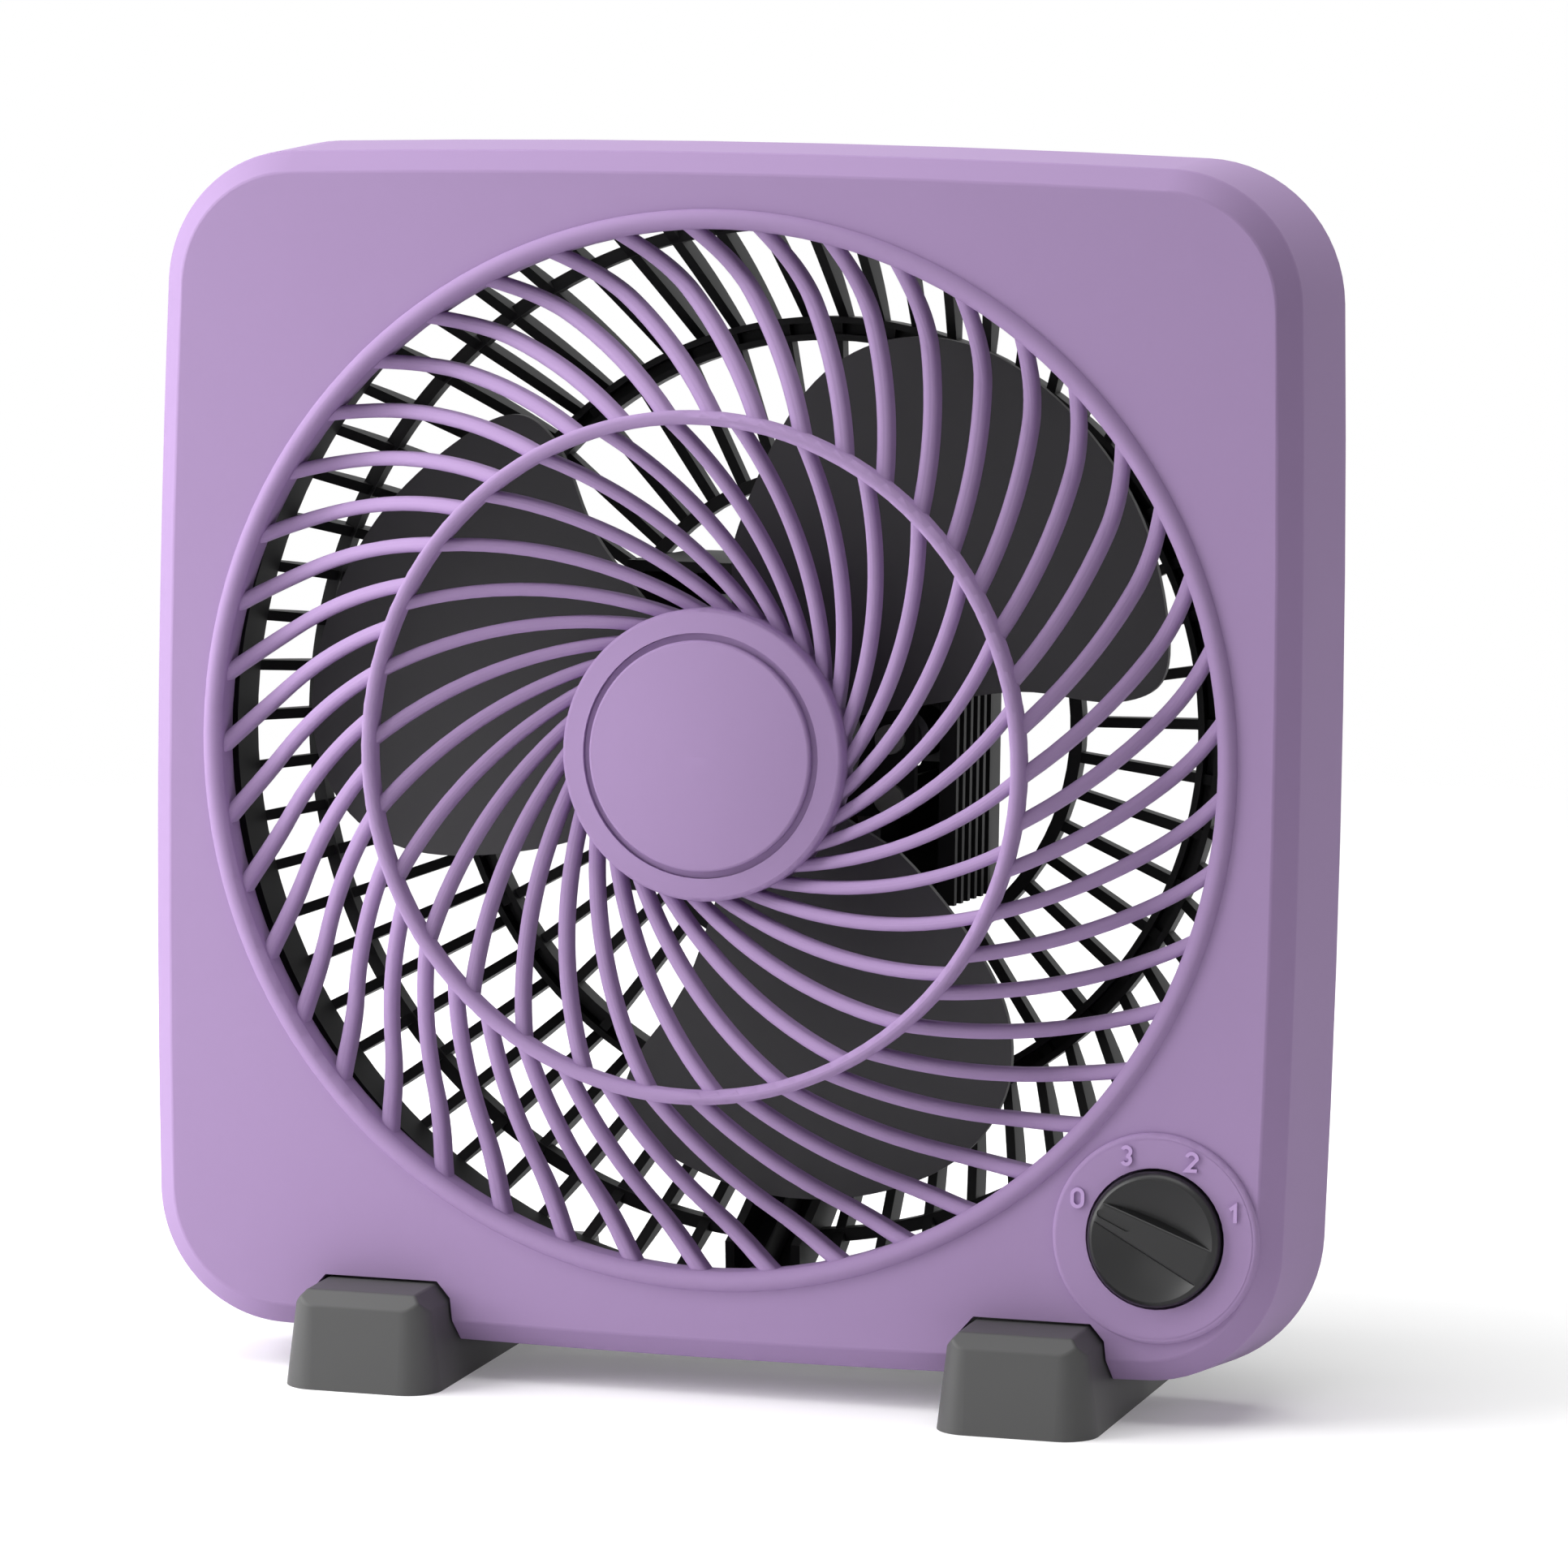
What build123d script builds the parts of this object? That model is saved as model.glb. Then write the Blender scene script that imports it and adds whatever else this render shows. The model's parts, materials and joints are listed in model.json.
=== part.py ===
from build123d import *
import os
from math import cos, hypot, radians, sin, tan

# Small square box fan on two feet, leaning back a little. All lengths are in millimetres, angles in degrees.
# World frame: +Z up, the fan blows towards -Y, the origin is on the floor under the middle of the feet.
# Body frame: x right, y up along the panel, z out of the front face, on the axis of the round grille.

# Stance
LEAN = 3.0
AXIS_HEIGHT = 146.0
NOSE_REACH = 25.0
TAIL_REACH = 105.0

# Square shell
BODY_HALF = 134.2
BODY_TOP = 133.8
BODY_BOTTOM = 137.2
BODY_GROWTH = 2.2
SIDE_BOW = 2.7
CORNER_RADIUS = 30.5
BODY_DEPTH = 36.0
EDGE_CHAMFER = 4.5
EDGE_ROUND = 1.0
WALL = 2.5
PANEL = 2.5

# Posts in the shell that take the screws of the rear grille
POST_X = 120.0
POST_Y = 72.0
POST_RADIUS = 4.5
HOUSING_SCREW_RADIUS = 1.5
HOUSING_SCREW_LENGTH = 15.0
SCREW_HEAD_RADIUS = 3.4
SCREW_HEAD_HEIGHT = 2.0
PILOT_GAP = 0.05
CLEARANCE_GAP = 0.25

# Dial plate with its digits and the well of the knob, at the lower right of the panel
DIAL_X = 105.2
DIAL_Y = -103.2
DIAL_RADIUS = 23.6
DIAL_HEIGHT = 1.4
DIAL_ROUND = 1.1
DIAL_LAND = 0.1
DIAL_LAND_INSET = 1.4
DIAL_OFF_ANGLE = 155.0
DIAL_STEP = 45.0
DIGIT_RADIUS = 19.5
DIGIT_HEIGHT = 3.8
DIGIT_WIDTH = 2.4
DIGIT_STROKE = 0.8
DIGIT_RELIEF = 0.6
HOOK_START = 160.0
BOWL_SWEEP = 215.0
BOWL_WAIST = 60.0
WELL_RADIUS = 15.8
WELL_DEPTH = 4.9

# Round front grille
RIM_OUTER = 121.5
RIM_INNER = 117.0
RIM_CREST = 1.8
RIM_DEPTH = 8.0
RIM_STEP = 0.6
RIM_STEP_DEPTH = 5.9
SPIGOT_WALL = 2.4
OPENING_GAP = 0.2
HOOK_COUNT = 6
HOOK_REACH = 1.6
HOOK_WIDTH = 14.0
HOOK_LENGTH = 2.5
HOOK_GAP = 0.1
OUTER_SPOKES = 45
INNER_SPOKES = 30
OUTER_SPOKE_WIDTH = 3.2
INNER_SPOKE_WIDTH = 2.8
SPOKE_DEPTH = 4.5
SPOKE_ROUNDNESS = 0.4
FRONT_FACING = 0.5
OUTER_SPOKE_START = -0.8
OUTER_SPOKE_MIDDLE = 11.0
OUTER_SPOKE_END = 21.8
INNER_SPOKE_START = -2.6
INNER_SPOKE_MIDDLE = 30.3
INNER_SPOKE_END = 47.3
SPOKE_RIM_FRONT = -0.4
SPOKE_VALLEY_FRONT = -5.4
SPOKE_VALLEY_RADIUS = 108.3
SPOKE_VALLEY_ROUND = 9.0
SPOKE_RING_FRONT = 15.2
SPOKE_HUB_FRONT = 2.0
RING_RADIUS = 75.75
RING_WIDTH = 3.1
RING_DEPTH = 6.0
RING_FRONT = 17.0

# Hub of the grille and the plain cap pressed into it
HUB_RADIUS = 32.8
HUB_FRONT = 7.5
HUB_DEPTH = 10.0
HUB_WALL = 2.6
HUB_SLOPE = 1.0
HUB_ROUND = 1.2
CAP_SEAT_RADIUS = 27.5
CAP_SEAT_DEPTH = 2.5
CAP_RADIUS = 25.9
CAP_FLANGE = 1.3
CAP_RISE = 2.0
CAP_CROWN = 2.0
CAP_ROUND = 0.8
CAP_GAP = 0.1

# Feet
FOOT_X = 77.0
FOOT_WIDTH = 37.0
FOOT_CORNER = 8.0
FOOT_DRAFT = 7.0
FOOT_BAR_HEIGHT = 13.0
FOOT_GAP = 0.2
NOSE_FACE_HEIGHT = 19.0
NOSE_TOP_HEIGHT = 22.2
NOSE_SHOULDER_HEIGHT = 18.5
NOSE_TOP_HALF = 13.0
NOSE_ROUND = 1.2
NOSE_BITE = 6.0
NOTCH_GAP = 0.5
FOOT_SCREW_DEPTHS = (14.0, 26.5)
FOOT_SCREW_RADIUS = 1.6
FOOT_SCREW_LENGTH = 13.0
FOOT_SEAT_DROP = 4.0
FOOT_BOSS_RADIUS = 4.0
FOOT_BOSS_HEIGHT = 11.0
HEAD_RECESS_GAP = 0.8

# Rear grille: flange, collar, domed ribs and rings
FLANGE = 2.5
FLANGE_GAP = 0.3
COLLAR_RADIUS = 126.0
COLLAR_WALL = 2.3
COLLAR_FRONT = 33.0
COLLAR_BACK = 46.0
SHOULDER_RADIUS = 119.5
SHOULDER_DEPTH = 63.5
CHANNEL_RADIUS = 95.0
CHANNEL_DEPTH = 96.0
INNER_RING_RADIUS = 60.0
INNER_RING_DEPTH = 101.0
RIB_THICKNESS = 2.4
RIB_DEPTH = 4.5
RIB_BITE = 0.3
SIDE_RIBS = 67
SIDE_RIB_PHASE = 2.75
BACK_RIBS = 45
BACK_RIB_PHASE = 1.85
CENTRE_RIBS = 30
CENTRE_RIB_PHASE = 2.0
SHOULDER_RING_WIDTH = 3.0
SHOULDER_RING_LENGTH = 5.0
CHANNEL_WIDTH = 5.6
CHANNEL_LENGTH = 6.0
CHANNEL_WALL = 1.5
INNER_RING_WIDTH = 3.0

# Motor box in the middle of the rear grille, with the duct that carries the leads down to the shell
BOX_HALF = 38.5
BOX_WALL = 2.5
BOX_FRONT = 60.0
BOX_BACK = 102.5
FIN_COUNT = 6
FIN_PITCH = 5.6
FIN_THICKNESS = 2.0
FIN_REACH = 1.6
VENT_COUNT = 5
VENT_PITCH = 9.0
VENT_WIDTH = 3.0
VENT_LENGTH = 40.0
DUCT_WIDTH = 18.0
DUCT_DEPTH = 11.0
DUCT_WALL = 2.2
MOTOR_POST_RADIUS = 3.6

# Motor
SHAFT_RADIUS = 3.0
SHAFT_TIP = 20.0
RUNNING_GAP = 0.03
PRESS_GAP = 0.01
BEARING_RADIUS = 6.0
BOSS_WALL = 2.2
BRACKET_FRONT = 53.5
BRACKET_THICKNESS = 2.5
BRACKET_HALF_WIDTH = 32.0
BRACKET_HALF_HEIGHT = 18.0
BRACKET_CORNER = 4.0
BOSS_FRONT = 48.0
STACK_FRONT = 64.0
STACK_LENGTH = 16.0
STACK_HALF_WIDTH = 21.0
STACK_HALF_HEIGHT = 31.0
YOKE = 6.0
LIMB = 5.5
POLE_WIDTH = 14.0
POLE_SHOE_RADIUS = 14.0
SHOE_GAP = 5.0
BORE_RADIUS = 11.0
AIR_GAP = 0.4
EAR_RADIUS = 6.0
ROTOR_OVERHANG = 0.5
MOTOR_SCREW_X = 26.3
MOTOR_SCREW_Y = 13.7
MOTOR_SCREW_RADIUS = 1.5
MOTOR_SCREW_LENGTH = 14.0
BOLT_RADIUS = 1.7
REAR_BRACKET_FRONT = 88.0
REAR_BRACKET_HALF_HEIGHT = 8.0
LEG_RADIUS = 4.2
BOBBIN_WALL = 1.0
BOBBIN_GAP = 0.2
WINDING_THICKNESS = 5.0
COIL_END_GAP = 0.5
WASHER_THICKNESS = 0.8
WASHER_GAP = 0.15
WASHER_RADIUS = 5.0

# Impeller
BLADE_COUNT = 3
BLADE_START = 10.5
BLADE_END = 83.0
BLADE_REAR = 43.0
BLADE_FRONT = 17.0
BLADE_THICKNESS = 2.0
BLADE_CAMBER = 2.5
BLADE_SECTIONS = 7
BLADE_MARGIN = 8.0
BLADE_OUTLINE = (
    (11.0, 25.0),
    (45.0, 13.5),
    (66.0, 11.5),
    (84.0, 8.0),
    (93.5, 9.5),
    (99.5, 18.0),
    (104.5, 33.0),
    (106.5, 50.0),
    (104.5, 62.0),
    (97.0, 71.5),
    (86.0, 78.0),
    (66.0, 84.5),
    (45.0, 91.0),
    (11.0, 100.0),
)
IMPELLER_HUB_RADIUS = 22.0
IMPELLER_HUB_FRONT = 14.0
IMPELLER_HUB_BACK = 44.0
IMPELLER_HUB_WALL = 2.2
IMPELLER_BOSS_RADIUS = 6.5

# Speed switch and its knob
SWITCH_SIZE = 26.0
SWITCH_DEPTH = 12.5
SWITCH_CORNER = 2.0
BUSH_RADIUS = 4.5
BUSH_LENGTH = 2.4
BUSH_GAP = 0.2
NUT_RADIUS = 6.5
NUT_HEIGHT = 2.0
SWITCH_SHAFT_RADIUS = 2.6
SWITCH_SHAFT_FRONT = 5.8
SWITCH_SHAFT_BACK = 8.0
TERMINAL_COUNT = 5
TERMINAL_CIRCLE = 8.5
TERMINAL_WIDTH = 3.2
TERMINAL_THICKNESS = 0.8
TERMINAL_LENGTH = 5.0
KNOB_RADIUS = 15.2
KNOB_GAP = 0.3
KNOB_HEIGHT = 7.4
KNOB_ROUND = 2.4
KNOB_RIM = 1.1
KNOB_HOLLOW_RADIUS = 7.3
KNOB_HOLLOW_HEIGHT = 2.6
DISH_DEPTH = 3.3
GRIP_HEIGHT = 4.0
GRIP_POINTER_HALF = 3.3
GRIP_TAIL_HALF = 5.7
GRIP_TAPER = 1.1
GRIP_ROUND = 0.8
POINTER_LENGTH = 8.5
POINTER_WIDTH = 1.8
POINTER_DEPTH = 0.5
POINTER_INSET = 1.4

# Cord inlet in the rear flange and the sheathed motor lead inside
GLAND_X = 117.0
GLAND_Y = -111.0
GLAND_BORE = 3.6
GLAND_WALL = 1.8
GLAND_LIP = 1.4
GLAND_LIP_HEIGHT = 1.6
GLAND_GAP = 0.1
LEAD_RADIUS = 2.0
LEAD_GAP = 0.4
LEAD_BEND = 4.0
LEAD_DROP = 6.0
LEAD_LIFT = 2.5
LEAD_LOW_X = 55.0
LEAD_TERMINAL_ANGLE = 234.0

# Planes and axes that place everything
FORWARD = Vector(0, -cos(radians(LEAN)), sin(radians(LEAN)))
FRONT_Y = (NOSE_REACH - TAIL_REACH) / 2
FRONT = Plane(origin=(0, FRONT_Y, AXIS_HEIGHT), x_dir=(1, 0, 0), z_dir=FORWARD)
FAN_AXIS = Axis(FRONT.origin, FRONT.z_dir)


def side_plane(base, angle):
    """Plane through the base plane's normal: local x is the radius at that angle, local y is the normal."""
    radius = base.x_dir * cos(radians(angle)) + base.y_dir * sin(radians(angle))
    return Plane(base.origin, x_dir=radius, z_dir=radius.cross(base.z_dir))


def body_plane(x, y, z=0.0):
    """The front plane moved to a point of the body frame."""
    return Plane(FRONT.from_local_coords((x, y, z)), x_dir=FRONT.x_dir, z_dir=FRONT.z_dir)


def polar(radius, angle):
    """Point at a radius and an angle."""
    return (radius * cos(radians(angle)), radius * sin(radians(angle)))


SIDE = side_plane(FRONT, 0)
BOTTOM = Plane(
    FRONT.from_local_coords((0, WALL - BODY_BOTTOM - BODY_GROWTH, 0)),
    x_dir=FRONT.x_dir,
    z_dir=FRONT.y_dir,
)
DIAL = body_plane(DIAL_X, DIAL_Y)
DIAL_AXIS = Axis(DIAL.origin, DIAL.z_dir)
WELL_FLOOR = DIAL_HEIGHT - WELL_DEPTH
SWITCH_SEAT = WELL_FLOOR - PANEL

SPIGOT_RADIUS = RIM_INNER + SPIGOT_WALL
OPENING_RADIUS = SPIGOT_RADIUS + OPENING_GAP
FLANGE_FRONT = BODY_DEPTH - FLANGE
FEET = {"left_foot": -FOOT_X, "right_foot": FOOT_X}
POSTS = [(x, y) for x in (-POST_X, POST_X) for y in (-POST_Y, POST_Y)]
MOTOR_POSTS = [(x, y) for x in (-MOTOR_SCREW_X, MOTOR_SCREW_X) for y in (-MOTOR_SCREW_Y, MOTOR_SCREW_Y)]
EARS = [(-MOTOR_SCREW_X, 0), (MOTOR_SCREW_X, 0)]
FOOT_BOSSES = [(x, depth) for x in FEET.values() for depth in FOOT_SCREW_DEPTHS]


def body_outline(grow):
    """Body outline with slightly bowed sides and round corners, grown by an amount."""
    half = BODY_HALF + grow
    top = BODY_TOP + grow
    bottom = -BODY_BOTTOM - grow
    corner = half - SIDE_BOW
    upper = top - SIDE_BOW
    lower = bottom + SIDE_BOW
    middle = (top + bottom) / 2
    corners = [(corner, lower), (corner, upper), (-corner, upper), (-corner, lower)]
    crowns = [(half, middle), (0, top), (-half, middle), (0, bottom)]
    with BuildSketch() as outline:
        with BuildLine():
            for start, crown, end in zip(corners, crowns, corners[1:] + corners[:1]):
                ThreePointArc(start, crown, end)
        make_face()
        fillet(outline.vertices(), CORNER_RADIUS + grow)
    return outline.sketch


def draft_growth(depth):
    """How far the drafted sides have come out at a depth behind the front face."""
    return BODY_GROWTH * depth / BODY_DEPTH


def body_block(*sections):
    """Drafted block through body outlines, each given by its depth and its inset."""
    with BuildPart() as block:
        for depth, inset in sections:
            with BuildSketch(FRONT.offset(-depth)):
                add(body_outline(draft_growth(depth) - inset))
        loft(ruled=True)
    return block.part


def nose_outline(floor, gap):
    """Front view of a foot's nose over a floor line, grown by a gap."""
    shoulder_half = FOOT_WIDTH / 2 - NOSE_SHOULDER_HEIGHT * sin(radians(FOOT_DRAFT)) + gap
    right = [
        (NOSE_TOP_HALF + gap, floor + NOSE_TOP_HEIGHT + gap),
        (shoulder_half, floor + NOSE_SHOULDER_HEIGHT + gap),
        (FOOT_WIDTH / 2 + gap, floor),
    ]
    with BuildSketch() as outline:
        with BuildLine():
            Polyline(*right, *[(-x, y) for x, y in reversed(right)], close=True)
        make_face()
    return outline.sketch


def digit(name):
    """One upright digit of the dial, drawn with an even stroke."""
    half_width = DIGIT_WIDTH / 2
    half_height = DIGIT_HEIGHT / 2
    quarter = DIGIT_HEIGHT / 4
    with BuildSketch() as shape:
        if name == "0":
            SlotOverall(DIGIT_HEIGHT + DIGIT_STROKE, DIGIT_WIDTH + DIGIT_STROKE, 90)
            SlotOverall(
                DIGIT_HEIGHT - DIGIT_STROKE, DIGIT_WIDTH - DIGIT_STROKE, 90, mode=Mode.SUBTRACT
            )
        else:
            with BuildLine() as stroke:
                if name == "1":
                    Polyline((-half_width, quarter), (0, half_height), (0, -half_height))
                elif name == "2":
                    hook = CenterArc((0, half_height - half_width), half_width, HOOK_START, -HOOK_START)
                    Polyline(hook @ 1, (-half_width, -half_height), (half_width, -half_height))
                else:
                    upper = CenterArc((0, quarter), quarter, BOWL_SWEEP - BOWL_WAIST, -BOWL_SWEEP)
                    lower = CenterArc((0, -quarter), quarter, BOWL_WAIST, -BOWL_SWEEP)
                    Line(upper @ 1, lower @ 0)
            trace(stroke.edges(), line_width=DIGIT_STROKE)
    return shape.sketch


def finish(piece, label):
    """Name a piece and write it."""
    piece.part.label = label
    export_step(piece.part, f"parts/{label}.step")


os.makedirs("parts", exist_ok=True)

# Front housing: shell, panel, dial plate, knob well, posts and the notches that the feet plug into
with BuildPart() as front_housing:
    add(body_block((0, EDGE_CHAMFER), (EDGE_CHAMFER, 0), (BODY_DEPTH, 0)))
    face_edges = front_housing.faces().sort_by(FAN_AXIS)[-1].edges()
    side_edges = front_housing.edges().filter_by_position(
        FAN_AXIS, -EDGE_CHAMFER - EDGE_ROUND, -EDGE_CHAMFER + EDGE_ROUND
    )
    fillet(face_edges + side_edges, radius=EDGE_ROUND)
    add(
        body_block(
            (PANEL, WALL + EDGE_CHAMFER), (PANEL + EDGE_CHAMFER, WALL), (BODY_DEPTH + FLANGE, WALL)
        ),
        mode=Mode.SUBTRACT,
    )
    with BuildSketch(FRONT):
        Circle(OPENING_RADIUS)
    extrude(amount=-PANEL, mode=Mode.SUBTRACT)
    with BuildSketch(DIAL.offset(-PANEL)):
        Circle(DIAL_RADIUS)
    extrude(amount=PANEL + DIAL_HEIGHT - DIAL_LAND)
    fillet(front_housing.faces().sort_by(FAN_AXIS)[-1].edges(), radius=DIAL_ROUND)
    with BuildSketch(DIAL):
        Circle(DIAL_RADIUS - DIAL_LAND_INSET)
    extrude(amount=DIAL_HEIGHT)
    with BuildSketch(DIAL.offset(SWITCH_SEAT)):
        Circle(WELL_RADIUS + WALL)
    extrude(amount=-SWITCH_SEAT)
    with BuildSketch(DIAL.offset(WELL_FLOOR)):
        Circle(WELL_RADIUS)
    extrude(amount=WELL_DEPTH, mode=Mode.SUBTRACT)
    with BuildSketch(DIAL.offset(DIAL_HEIGHT)):
        for step, name in enumerate("0321"):
            with Locations(polar(DIGIT_RADIUS, DIAL_OFF_ANGLE - step * DIAL_STEP)):
                add(digit(name))
    extrude(amount=DIGIT_RELIEF)
    with BuildSketch(DIAL.offset(SWITCH_SEAT)):
        Circle(BUSH_RADIUS + BUSH_GAP)
    extrude(amount=PANEL, mode=Mode.SUBTRACT)
    with BuildSketch(FRONT.offset(-PANEL)):
        with Locations(*POSTS):
            Circle(POST_RADIUS)
    extrude(amount=PANEL - FLANGE_FRONT)
    with BuildSketch(FRONT.offset(-FLANGE_FRONT)):
        with Locations(*POSTS):
            Circle(HOUSING_SCREW_RADIUS + PILOT_GAP)
    extrude(amount=HOUSING_SCREW_LENGTH, mode=Mode.SUBTRACT)
    with BuildSketch(BOTTOM):
        with Locations(*FOOT_BOSSES):
            Circle(FOOT_BOSS_RADIUS)
    extrude(amount=FOOT_BOSS_HEIGHT)
    with BuildSketch(BOTTOM.offset(-FOOT_SEAT_DROP)):
        with Locations(*FOOT_BOSSES):
            Circle(FOOT_SCREW_RADIUS + PILOT_GAP)
    extrude(amount=FOOT_SCREW_LENGTH + PILOT_GAP, mode=Mode.SUBTRACT)
    with BuildSketch(FRONT):
        for foot_x in FEET.values():
            with Locations((foot_x, 0)):
                add(nose_outline(-AXIS_HEIGHT, NOTCH_GAP))
    extrude(amount=-(NOSE_BITE + NOTCH_GAP), mode=Mode.SUBTRACT)
finish(front_housing, "front_housing")

# Front grille: one swirling spoke of each kind, then the rim, rings, hub and snap hooks
RIM_MIDDLE = RIM_INNER + SPIGOT_WALL / 2
HUB_MIDDLE = HUB_RADIUS - HUB_WALL / 2
SPOKE_LEVELS = SPOKE_RING_FRONT + SPOKE_DEPTH - SPOKE_VALLEY_FRONT


def front_edges(spoke):
    """Long edges of a spoke's front faces."""
    faces = spoke.faces().filter_by(lambda face: face.normal_at().Z > FRONT_FACING)
    return faces.edges().filter_by(lambda edge: edge.length > SPOKE_DEPTH)


def spoke_strip(path, width):
    """Flat strip that follows an arc through three points."""
    with BuildSketch(Plane.XY.offset(SPOKE_VALLEY_FRONT - SPOKE_DEPTH)) as strip:
        with BuildLine() as line:
            ThreePointArc(*path)
        trace(line.edges(), line_width=width)
    return strip.sketch


with BuildPart() as outer_spoke:
    add(spoke_strip(
        (
            polar(RING_RADIUS, OUTER_SPOKE_START),
            polar((RING_RADIUS + RIM_MIDDLE) / 2, OUTER_SPOKE_MIDDLE),
            polar(RIM_MIDDLE, OUTER_SPOKE_END),
        ),
        OUTER_SPOKE_WIDTH,
    ))
    extrude(amount=SPOKE_LEVELS)
    with BuildSketch(Plane.XZ):
        with BuildLine():
            front = FilletPolyline(
                (RING_RADIUS, SPOKE_RING_FRONT),
                (SPOKE_VALLEY_RADIUS, SPOKE_VALLEY_FRONT),
                (RIM_MIDDLE, SPOKE_RIM_FRONT),
                radius=SPOKE_VALLEY_ROUND,
            )
            back = FilletPolyline(
                (RING_RADIUS, SPOKE_RING_FRONT - SPOKE_DEPTH),
                (SPOKE_VALLEY_RADIUS, SPOKE_VALLEY_FRONT - SPOKE_DEPTH),
                (RIM_MIDDLE, SPOKE_RIM_FRONT - SPOKE_DEPTH),
                radius=SPOKE_VALLEY_ROUND,
            )
            Line(front @ 0, back @ 0)
            Line(front @ 1, back @ 1)
        make_face()
    revolve(axis=Axis.Z, mode=Mode.INTERSECT)
    fillet(front_edges(outer_spoke), radius=OUTER_SPOKE_WIDTH * SPOKE_ROUNDNESS)

with BuildPart() as inner_spoke:
    add(spoke_strip(
        (
            polar(HUB_MIDDLE, INNER_SPOKE_START),
            polar((HUB_MIDDLE + RING_RADIUS) / 2, INNER_SPOKE_MIDDLE),
            polar(RING_RADIUS, INNER_SPOKE_END),
        ),
        INNER_SPOKE_WIDTH,
    ))
    extrude(amount=SPOKE_LEVELS)
    with BuildSketch(Plane.XZ):
        with BuildLine():
            Polyline(
                (HUB_MIDDLE, SPOKE_HUB_FRONT),
                (RING_RADIUS, SPOKE_RING_FRONT),
                (RING_RADIUS, SPOKE_RING_FRONT - SPOKE_DEPTH),
                (HUB_MIDDLE, SPOKE_HUB_FRONT - SPOKE_DEPTH),
                close=True,
            )
        make_face()
    revolve(axis=Axis.Z, mode=Mode.INTERSECT)
    fillet(front_edges(inner_spoke), radius=INNER_SPOKE_WIDTH * SPOKE_ROUNDNESS)

with BuildPart(FRONT) as front_grille:
    with BuildSketch(SIDE):
        with BuildLine():
            Polyline(
                (RIM_INNER, 0),
                (RIM_INNER, -RIM_STEP_DEPTH),
                (RIM_INNER + RIM_STEP, -RIM_STEP_DEPTH),
                (RIM_INNER + RIM_STEP, -RIM_DEPTH),
                (SPIGOT_RADIUS, -RIM_DEPTH),
                (SPIGOT_RADIUS, 0),
                (RIM_OUTER, 0),
            )
            ThreePointArc((RIM_OUTER, 0), ((RIM_INNER + RIM_OUTER) / 2, RIM_CREST), (RIM_INNER, 0))
        make_face()
    revolve(axis=FAN_AXIS)
    with BuildSketch(SIDE):
        with Locations((RING_RADIUS, RING_FRONT - RING_DEPTH / 2)):
            RectangleRounded(RING_WIDTH, RING_DEPTH, RING_WIDTH * 0.45)
    revolve(axis=FAN_AXIS)
    with BuildSketch(SIDE) as hub_profile:
        with BuildLine():
            Polyline(
                (0, HUB_FRONT - CAP_SEAT_DEPTH),
                (CAP_SEAT_RADIUS, HUB_FRONT - CAP_SEAT_DEPTH),
                (CAP_SEAT_RADIUS, HUB_FRONT),
                (HUB_RADIUS, HUB_FRONT - HUB_SLOPE),
                (HUB_RADIUS, HUB_FRONT - HUB_DEPTH),
                (HUB_RADIUS - HUB_WALL, HUB_FRONT - HUB_DEPTH),
                (HUB_RADIUS - HUB_WALL, HUB_FRONT - CAP_SEAT_DEPTH - HUB_WALL),
                (0, HUB_FRONT - CAP_SEAT_DEPTH - HUB_WALL),
                close=True,
            )
        make_face()
        fillet(hub_profile.vertices().sort_by_distance((HUB_RADIUS, HUB_FRONT))[0], radius=HUB_ROUND)
    revolve(axis=FAN_AXIS)
    with BuildSketch(FRONT.offset(-PANEL - HOOK_GAP)):
        with PolarLocations(SPIGOT_RADIUS, HOOK_COUNT):
            Rectangle(HOOK_REACH * 2, HOOK_WIDTH)
        Circle(RIM_MIDDLE, mode=Mode.SUBTRACT)
    extrude(amount=-HOOK_LENGTH)
    with PolarLocations(0, OUTER_SPOKES):
        add(outer_spoke.part)
    with PolarLocations(0, INNER_SPOKES):
        add(inner_spoke.part)
finish(front_grille, "front_grille")

with BuildPart() as hub_cap:
    with BuildSketch(SIDE) as cap_profile:
        seat = HUB_FRONT - CAP_SEAT_DEPTH
        step = seat + CAP_FLANGE
        with BuildLine():
            Polyline(
                (0, step + CAP_RISE + CAP_CROWN),
                (0, seat),
                (CAP_SEAT_RADIUS - CAP_GAP, seat),
                (CAP_SEAT_RADIUS - CAP_GAP, step),
                (CAP_RADIUS, step),
                (CAP_RADIUS, step + CAP_RISE),
            )
            TangentArc(
                (0, step + CAP_RISE + CAP_CROWN), (CAP_RADIUS, step + CAP_RISE),
                tangent=(1, 0),
            )
        make_face()
        fillet(cap_profile.vertices().sort_by_distance((CAP_RADIUS, step + CAP_RISE))[0], radius=CAP_ROUND)
    revolve(axis=FAN_AXIS)
finish(hub_cap, "hub_cap")

# Feet: a tapered bar along the floor with a nose that plugs into the notch of the panel
with BuildPart() as nose_space:
    with BuildSketch(FRONT.offset(-NOSE_BITE)):
        for foot_x in FEET.values():
            with Locations((foot_x, 0)):
                add(nose_outline(-AXIS_HEIGHT, 0))
    extrude(amount=NOSE_BITE + NOSE_REACH)

with BuildPart() as body_clearance:
    add(body_block((0, -FOOT_GAP), (BODY_DEPTH + FOOT_GAP, -FOOT_GAP)))
    add(nose_space.part, mode=Mode.SUBTRACT)

NOSE_FRONT_Y = FRONT_Y - NOSE_REACH
NOSE_BROW = NOSE_FACE_HEIGHT * (1 - tan(radians(FOOT_DRAFT)))
TAIL_Y = FRONT_Y + TAIL_REACH
NOSE_BACK = FRONT.from_local_coords((0, NOSE_TOP_HEIGHT - AXIS_HEIGHT, -NOSE_BITE))


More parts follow.
